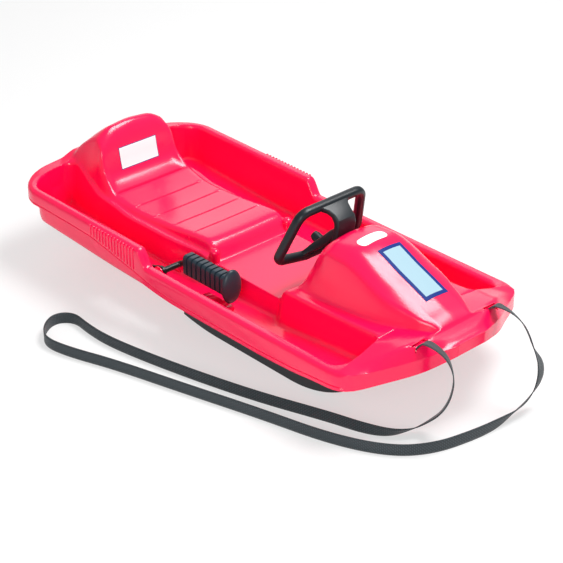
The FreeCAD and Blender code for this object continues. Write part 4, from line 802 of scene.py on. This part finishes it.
def wheel_mesh():
    """Open wheel rim with a neck that leaves the top bar forward, turns down and runs back to the foot."""
    up = Vector((-COLUMN_WAY.z, 0, COLUMN_WAY.x))
    left = Vector((0, 1, 0))
    bm = bmesh.new()
    path = rounded([(y, z, 0) for y, z in WHEEL_CORNERS], WHEEL_TRIMS, WHEEL_STEPS, 7)[:-1]
    rings = []
    for i, p in enumerate(path):
        way = path[(i + 1) % len(path)] - path[i - 1]
        out = (left * way.y - up * way.x).normalized()
        middle = COLUMN_START + left * p.x + up * p.y
        rings.append(ring_points(middle, out, COLUMN_WAY, *WHEEL_SECTION))
    add_sweep(bm, rings, True)
    for stations in (NECK_FRONT, NECK_BACK):
        rings = []
        for i, (high, ahead, half, thick) in enumerate(stations):
            before, after = stations[max(i - 1, 0)], stations[min(i + 1, len(stations) - 1)]
            way = (up * (after[0] - before[0]) + COLUMN_WAY * (after[1] - before[1])).normalized()
            middle = COLUMN_START + up * high + COLUMN_WAY * ahead
            rings.append(ring_points(middle, left, way.cross(left), half, thick, NECK_CORNER))
        add_sweep(bm, rings)
    add_rod(bm, *WHEEL_HUB)
    return bm


def grip_mesh():
    """Grip with a rounded core, upright ribs round it and half a flattened ball as guard at its front end."""
    bm = bmesh.new()
    add_fin(bm, GRIP_REAR, GRIP_FRONT, *GRIP_CORE)
    pitch = (GRIP_FRONT - GRIP_REAR) / GRIP_RIBS
    for k in range(GRIP_RIBS):
        start = GRIP_REAR + k * pitch
        add_fin(bm, start, start + GRIP_RIB_SHARE * pitch, *GRIP_RIB)
    ball = bmesh.ops.create_uvsphere(bm, u_segments=40, v_segments=20, radius=1.0)["verts"]
    faces = list({f for v in ball for f in v.link_faces})
    edges = list({e for v in ball for e in v.link_edges})
    halved = bmesh.ops.bisect_plane(bm, geom=ball + edges + faces, plane_co=(-0.25, 0, 0),
                                    plane_no=(1, 0, 0), clear_inner=True)
    rim = [e for e in halved["geom_cut"] if isinstance(e, bmesh.types.BMEdge)]
    bmesh.ops.holes_fill(bm, edges=rim, sides=0)
    # The guard is still one metre in radius, and the rest lies well inside half a metre
    guard = [v for v in bm.verts if v.co.length > 0.5]
    size = Matrix.Diagonal((*[half * MM for half in GUARD_HALF], 1))
    place = Matrix.Translation((GRIP_MIDDLE + Vector((GRIP_FRONT + 2, 0, 0))) * MM)
    bmesh.ops.transform(bm, matrix=place @ size, verts=guard)
    return bm


def hull_mesh():
    """Open skin of the hull through all its rows, the same on both sides."""
    rows = [hull_row(*row) for row in hull_rows()]
    steps = len(rows[0]) - 1
    bm = bmesh.new()
    for row, column, vert in laid_grid(bm, len(rows) - 1, 2 * steps):
        side = column - steps
        p = rows[row][abs(side)]
        vert.co = Vector((p.x, math.copysign(p.y, side) if side else 0.0, p.z)) * MM
    bmesh.ops.recalc_face_normals(bm, faces=bm.faces)
    top = max(bm.faces, key=lambda f: f.calc_center_median().z)
    if top.normal.z < 0:
        bmesh.ops.reverse_faces(bm, faces=bm.faces)
    return bm


def add_shelf_hole(bm, side):
    """Add the round cutter of one channel's shelf hole."""
    add_rod(bm, HOLE_RADIUS, (HOLE_X, side * HOLE_Y, HOLE_CUT[0]),
            (HOLE_X, side * HOLE_Y, HOLE_CUT[1]))


def opening_cutters():
    """Cutters of the strap slots, the shelf holes and the claw's slot."""
    bm = bmesh.new()
    for side in (-1, 1):
        add_box(bm, (SLOT_X - SLOT_HALF_X, side * SLOT_Y - SLOT_HALF_Y, SLOT_CUT[0]),
                (SLOT_X + SLOT_HALF_X, side * SLOT_Y + SLOT_HALF_Y, SLOT_CUT[1]))
        add_shelf_hole(bm, side)
    add_box(bm, *CLAW_SLOT)
    return bm


def drilled_shelves(material):
    """Object of the two channel shelves with their holes."""
    shelves = bmesh.new()
    add_pair(shelves, *SHELF, SHELF_BEVEL)
    holes = bmesh.new()
    for side in (-1, 1):
        add_shelf_hole(holes, side)
    shelf = mesh_object("shelves", shelves, material, "hull")
    boolean(shelf, holes)
    return shelf


def add_underside(bm):
    """Add belly, keels, steering tower, strap pads, nubs, nose plate, collars, brake boss and console web."""
    for box in (BELLY, BELLY_REAR, BELLY_FRONT, NOSE_PLATE):
        add_box(bm, *box)
    add_pair(bm, *KEEL, KEEL_BEVEL)
    for box in (TOWER_SIDE, PAD_REAR, PAD_FRONT):
        add_pair(bm, *box, PLATE_BEVEL)
    add_box(bm, *TOWER_FOOT, PLATE_BEVEL)
    for side in (-1, 1):
        top = (NUB_X, side * NUB_Y, NUB_TOP)
        add_rod(bm, NUB_RADIUS, (NUB_X, side * NUB_Y, NUB_FOOT), top, 32)
        cap = bmesh.ops.create_uvsphere(bm, u_segments=32, v_segments=16, radius=NUB_RADIUS * MM)["verts"]
        bmesh.ops.translate(bm, vec=Vector(top) * MM, verts=cap)
    for rod in (KINGPIN_COLLAR, COLUMN_COLLAR, BRAKE_BOSS):
        add_rod(bm, *rod)
    web = bmesh.ops.create_cube(bm, size=1.0)["verts"]
    bmesh.ops.scale(bm, vec=WEB_SIZE * MM, verts=web)
    turn = Matrix.Rotation(COLUMN_LEAN, 4, "Y")
    middle = COLUMN_START + COLUMN_WAY * WEB_AHEAD + turn @ Vector((0, 0, WEB_RISE))
    bmesh.ops.transform(bm, matrix=Matrix.Translation(middle * MM) @ turn, verts=web)


def add_ribs(bm):
    """Add the upright ribs on the outside of the rim beside the seat."""
    bow_x, bow_y = BOW_OUTLINE[0]
    for x in RIBS:
        half = STERN_HALF + (bow_y - STERN_HALF) * (x - REAR) / (bow_x - REAR)
        low = smooth_at(LIP_LINE, x) + smooth_at(CREASE_GAP, x) + RIB_GAP_BELOW
        high = smooth_at(RIM_LINE, x) - RIB_GAP_ABOVE
        add_pair(bm, (x - RIB_HALF, half - WALL, low), (x + RIB_HALF, half + RIB_PROUD, high), RIB_BEVEL)


def nurbs_line(points):
    """Points along a smooth curve led by control points in millimetres."""
    curve = bpy.data.curves.new("route", "CURVE")
    curve.dimensions = "3D"
    curve.resolution_u = 10
    spline = curve.splines.new("NURBS")
    spline.points.add(len(points) - 1)
    for point, place in zip(spline.points, points):
        point.co = (*(Vector(place) * MM), 1)
    spline.order_u = 3
    spline.use_endpoint_u = True
    guide = bpy.data.objects.new("route", curve)
    bpy.context.scene.collection.objects.link(guide)
    line = bpy.data.meshes.new_from_object(guide.evaluated_get(bpy.context.evaluated_depsgraph_get()))
    result = [v.co.copy() for v in line.vertices]
    bpy.data.objects.remove(guide)
    bpy.data.curves.remove(curve)
    bpy.data.meshes.remove(line)
    return result


class SledHullSettings(bpy.types.PropertyGroup):
    """Wall and colour of the hull."""
    colour: StringProperty(name="Colour", description="sRGB colour of the plastic", default="#FF0850")
    wall: FloatProperty(name="Wall", description="Wall thickness", default=WALL * MM, unit="LENGTH")


class SledTrimSettings(bpy.types.PropertyGroup):
    """Colours of the dark pieces, labels and strap, and sizes of the strap."""
    dark: StringProperty(name="Dark plastic", description="sRGB colour of wheel and runners",
                         default="#141B21")
    grip: StringProperty(name="Grip", description="sRGB colour of the brake grip", default="#26343E")
    strap_low: StringProperty(name="Strap dark", description="sRGB colour between the yarns",
                              default="#272E32")
    strap_high: StringProperty(name="Strap light", description="sRGB colour of the yarns",
                               default="#454F55")
    strap_width: FloatProperty(name="Strap width", description="Width of the webbing",
                               default=2 * STRAP_HALF * MM, unit="LENGTH")
    strap_thick: FloatProperty(name="Strap thickness", description="Thickness of the webbing",
                               default=2 * MM, unit="LENGTH")
    label: StringProperty(name="Label", description="sRGB colour of the console label", default="#9DBBC8")
    label_edge: StringProperty(name="Label edging", description="sRGB colour of the label edging",
                               default="#15307A")


class SledStageSettings(bpy.types.PropertyGroup):
    """Place and lens of the camera."""
    azimuth: FloatProperty(name="Azimuth", description="Camera angle round the sled",
                           default=math.radians(47.1), subtype="ANGLE")
    elevation: FloatProperty(name="Elevation", description="Camera angle above the floor",
                             default=math.radians(29.6), subtype="ANGLE")
    distance: FloatProperty(name="Distance", description="Camera to target", default=3.6666, unit="LENGTH")
    target: FloatVectorProperty(name="Target", description="Point in the middle of the view", size=3,
                                default=(0.0354, 0.0, 0.0776), subtype="TRANSLATION")
    lens: FloatProperty(name="Lens", description="Focal length in millimetres on a 36 mm sensor",
                        default=111.9)


class SLED_OT_hull(bpy.types.Operator):
    """Mould the hull with its rim, backrest, seat, channels, console and deck."""
    bl_idname = "sled.hull"
    bl_label = "Hull"

    def execute(self, context):
        settings = context.scene.sled_hull
        material = hull_plastic(srgb(settings.colour))
        skin = mesh_object("hull_shell", hull_mesh(), material, "hull")
        solid = skin.modifiers.new("wall", "SOLIDIFY")
        solid.thickness = settings.wall
        solid.offset = -1
        bake(skin)
        for vert in skin.data.vertices:
            vert.co.x = min(max(vert.co.x, (REAR + 0.1) * MM), (NOSE - 0.4) * MM)
        boolean(skin, opening_cutters())
        shelf = drilled_shelves(material)
        whole = bmesh.new()
        whole.from_mesh(skin.data)
        whole.from_mesh(shelf.data)
        add_underside(whole)
        add_ribs(whole)
        whole.to_mesh(skin.data)
        whole.free()
        bpy.data.objects.remove(shelf)
        shade(skin.data, sharp_angle=38)
        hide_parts("hull")
        return {"FINISHED"}


class SLED_OT_dark_parts(bpy.types.Operator):
    """Mould the wheel, the strap stops and the ribbed brake grip, and finish the runners."""
    bl_idname = "sled.dark_parts"
    bl_label = "Wheel, grip and runners"

    def execute(self, context):
        trim = context.scene.sled_trim
        material = dark_plastic("moulded_polypropylene", srgb(trim.dark), grain_mm=0.9)
        wheel = mesh_object("dished_wheel", wheel_mesh(), material, "steering", sharp_angle=35)
        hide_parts("steering_wheel")
        stops = bmesh.new()
        add_pair(stops, *STRAP_STOP, STOP_BEVEL)
        bars = mesh_object("rounded_stops", stops, material, "hull", sharp_angle=35)
        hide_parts("strap_stops")
        for name in ("left_runner", "right_runner"):
            finish_node(frame["nodes"][name], material)
        soft = dark_plastic("moulded_grip_rubber", srgb(trim.grip), grain_mm=0.9)
        grip = mesh_object("ribbed_grip", grip_mesh(), soft, "brake", sharp_angle=35)
        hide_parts("brake_grip")
        return {"FINISHED"}


class SLED_OT_hardware(bpy.types.Operator):
    """Finish the steel pieces and the bushes."""
    bl_idname = "sled.hardware"
    bl_label = "Steel and bushes"

    def execute(self, context):
        by_slot = {"steel": zinc_steel(), "bush_plastic": nylon()}
        black = black_steel()
        by_name = {name: black for name in ("brake_rod", "brake_claw", "brake_clip", "wheel_screw")}
        by_name["brake_bush"] = bpy.data.materials["moulded_polyethylene"]
        for row in frame["record"]["subparts"]:
            name = row["node"]
            chosen = by_name.get(name) or by_slot.get(row["material_slot"])
            if chosen:
                finish_node(frame["nodes"][name], chosen)
        return {"FINISHED"}


class SLED_OT_labels(bpy.types.Operator):
    """Lay the blank labels on the console and the backrest."""
    bl_idname = "sled.labels"
    bl_label = "Labels"

    def execute(self, context):
        trim = context.scene.sled_trim
        film = label_film("blank_label_film", srgb(trim.label))
        white = label_film("white_label_film", srgb("#F4F6F6"))
        edging = label_film("label_edging", srgb(trim.label_edge))
        surface = BVHTree.FromObject(bpy.data.objects["hull_shell"], context.evaluated_depsgraph_get())
        down, back = Vector((0, 0, -1)), Vector((-1, 0, 0))
        for node, centre, size, way, border, corner, sheet in (
                ("console_label", (395, 10, 400), (132, 62), down, 8.0, 0.0, film),
                ("small_label", (294, 0, 400), (26, 72), down, 0.0, 12.0, white),
                ("backrest_label", (-300, 0, 215), (106, 50), back, 1.6, 0.0, white)):
            bm = bmesh.new()
            add_label(bm, surface, Vector(centre), size, way, border, corner)
            label = mesh_object("blank_" + node, bm, sheet, "hull", sharp_angle=60)
            label.data.materials.append(edging)
            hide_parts(node)
        return {"FINISHED"}


class SLED_OT_tow_strap(bpy.types.Operator):
    """Lay the woven tow strap along its route."""
    bl_idname = "sled.tow_strap"
    bl_label = "Tow strap"

    def execute(self, context):
        settings = context.scene.sled_trim
        path = nurbs_line([place[:3] for place in STRAP_ROUTE])
        turns = nurbs_line([(place[3] / MM, 0, 0) for place in STRAP_ROUTE])
        bm = bmesh.new()
        uv = bm.loops.layers.uv.new("UVMap")
        travelled = 0.0
        places = {}
        for row, column, vert in laid_grid(bm, len(path) - 1, STRAP_COLUMNS):
            if column == 0 and row:
                travelled += (path[row] - path[row - 1]).length
            ahead = path[min(row + 1, len(path) - 1)] - path[max(row - 1, 0)]
            ahead.normalize()
            # Low down the webbing stands on edge, and it lies flat once it has risen
            lift = min(max((path[row].z / MM - STRAP_HALF) / STRAP_RISE, 0), 1)
            turn = turns[row].x
            wide = Vector((0, lift, lift - 1)) * (1 - turn) - EYE_WAY * turn
            wide = (wide - ahead * wide.dot(ahead)).normalized()
            across = (column / STRAP_COLUMNS - 0.5) * settings.strap_width
            vert.co = path[row] + wide * across
            places[vert] = (travelled, across)
        for face in bm.faces:
            for loop in face.loops:
                loop[uv].uv = places[loop.vert]
        bmesh.ops.recalc_face_normals(bm, faces=bm.faces)
        material = webbing(srgb(settings.strap_low), srgb(settings.strap_high))
        strap = mesh_object("tow_webbing", bm, material, "hull", sharp_angle=60)
        solid = strap.modifiers.new("thickness", "SOLIDIFY")
        solid.thickness = settings.strap_thick
        solid.offset = 0
        bake(strap)
        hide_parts("tow_strap")
        return {"FINISHED"}


class SLED_OT_stage(bpy.types.Operator):
    """Set the floor, the studio light and the camera."""
    bl_idname = "sled.stage"
    bl_label = "Stage"

    def execute(self, context):
        scene = context.scene
        settings = scene.sled_stage
        bm = bmesh.new()
        bmesh.ops.create_grid(bm, x_segments=1, y_segments=1, size=FLOOR_SIZE)
        mesh = bpy.data.meshes.new("studio_floor")
        bm.to_mesh(mesh)
        bm.free()
        mesh.materials.append(studio_paper())
        floor = bpy.data.objects.new("studio_floor", mesh)
        scene.collection.objects.link(floor)
        world = bpy.data.worlds.new("studio")
        scene.world = world
        world.use_nodes = True
        background = world.node_tree.nodes["Background"]
        background.inputs["Color"].default_value = (1, 1, 1, 1)
        background.inputs["Strength"].default_value = WORLD_STRENGTH
        for name, place, size, power in LAMPS:
            light = bpy.data.lights.new(name, "AREA")
            light.energy = power
            light.size = size
            lamp = bpy.data.objects.new(name, light)
            lamp.location = place
            lamp.rotation_euler = (LAMP_TARGET - Vector(place)).to_track_quat("-Z", "Y").to_euler()
            scene.collection.objects.link(lamp)
        camera = bpy.data.cameras.new("camera")
        camera.lens = settings.lens
        camera.sensor_width = 36
        viewer = bpy.data.objects.new("camera", camera)
        az, el = settings.azimuth, settings.elevation
        back = Vector((math.sin(az) * math.cos(el), -math.cos(az) * math.cos(el), math.sin(el)))
        viewer.location = Vector(settings.target) + back * settings.distance
        viewer.rotation_euler = back.to_track_quat("Z", "Y").to_euler()
        scene.collection.objects.link(viewer)
        scene.camera = viewer
        scene.view_settings.view_transform = "Standard"
        return {"FINISHED"}


class SLED_PT_panel(bpy.types.Panel):
    """Sidebar panel of the sled's pieces."""
    bl_idname = "SLED_PT_panel"
    bl_label = "Steering Sled"
    bl_space_type = "VIEW_3D"
    bl_region_type = "UI"
    bl_category = "Sled"

    def draw(self, context):
        for operator in OPERATORS:
            self.layout.operator(operator.bl_idname)


OPERATORS = (SLED_OT_hull, SLED_OT_dark_parts, SLED_OT_hardware, SLED_OT_labels, SLED_OT_tow_strap,
             SLED_OT_stage)
SETTINGS = (("sled_hull", SledHullSettings), ("sled_trim", SledTrimSettings),
            ("sled_stage", SledStageSettings))


def register():
    for name, group in SETTINGS:
        bpy.utils.register_class(group)
        setattr(bpy.types.Scene, name, PointerProperty(type=group))
    for operator in OPERATORS:
        bpy.utils.register_class(operator)
    bpy.utils.register_class(SLED_PT_panel)


def unregister():
    bpy.utils.unregister_class(SLED_PT_panel)
    for operator in reversed(OPERATORS):
        bpy.utils.unregister_class(operator)
    for name, group in reversed(SETTINGS):
        delattr(bpy.types.Scene, name)
        bpy.utils.unregister_class(group)


def main():
    register()
    bpy.ops.sled.hull()
    bpy.ops.sled.dark_parts()
    bpy.ops.sled.hardware()
    bpy.ops.sled.labels()
    bpy.ops.sled.tow_strap()
    bpy.ops.sled.stage()


if __name__ == "__main__":
    main()
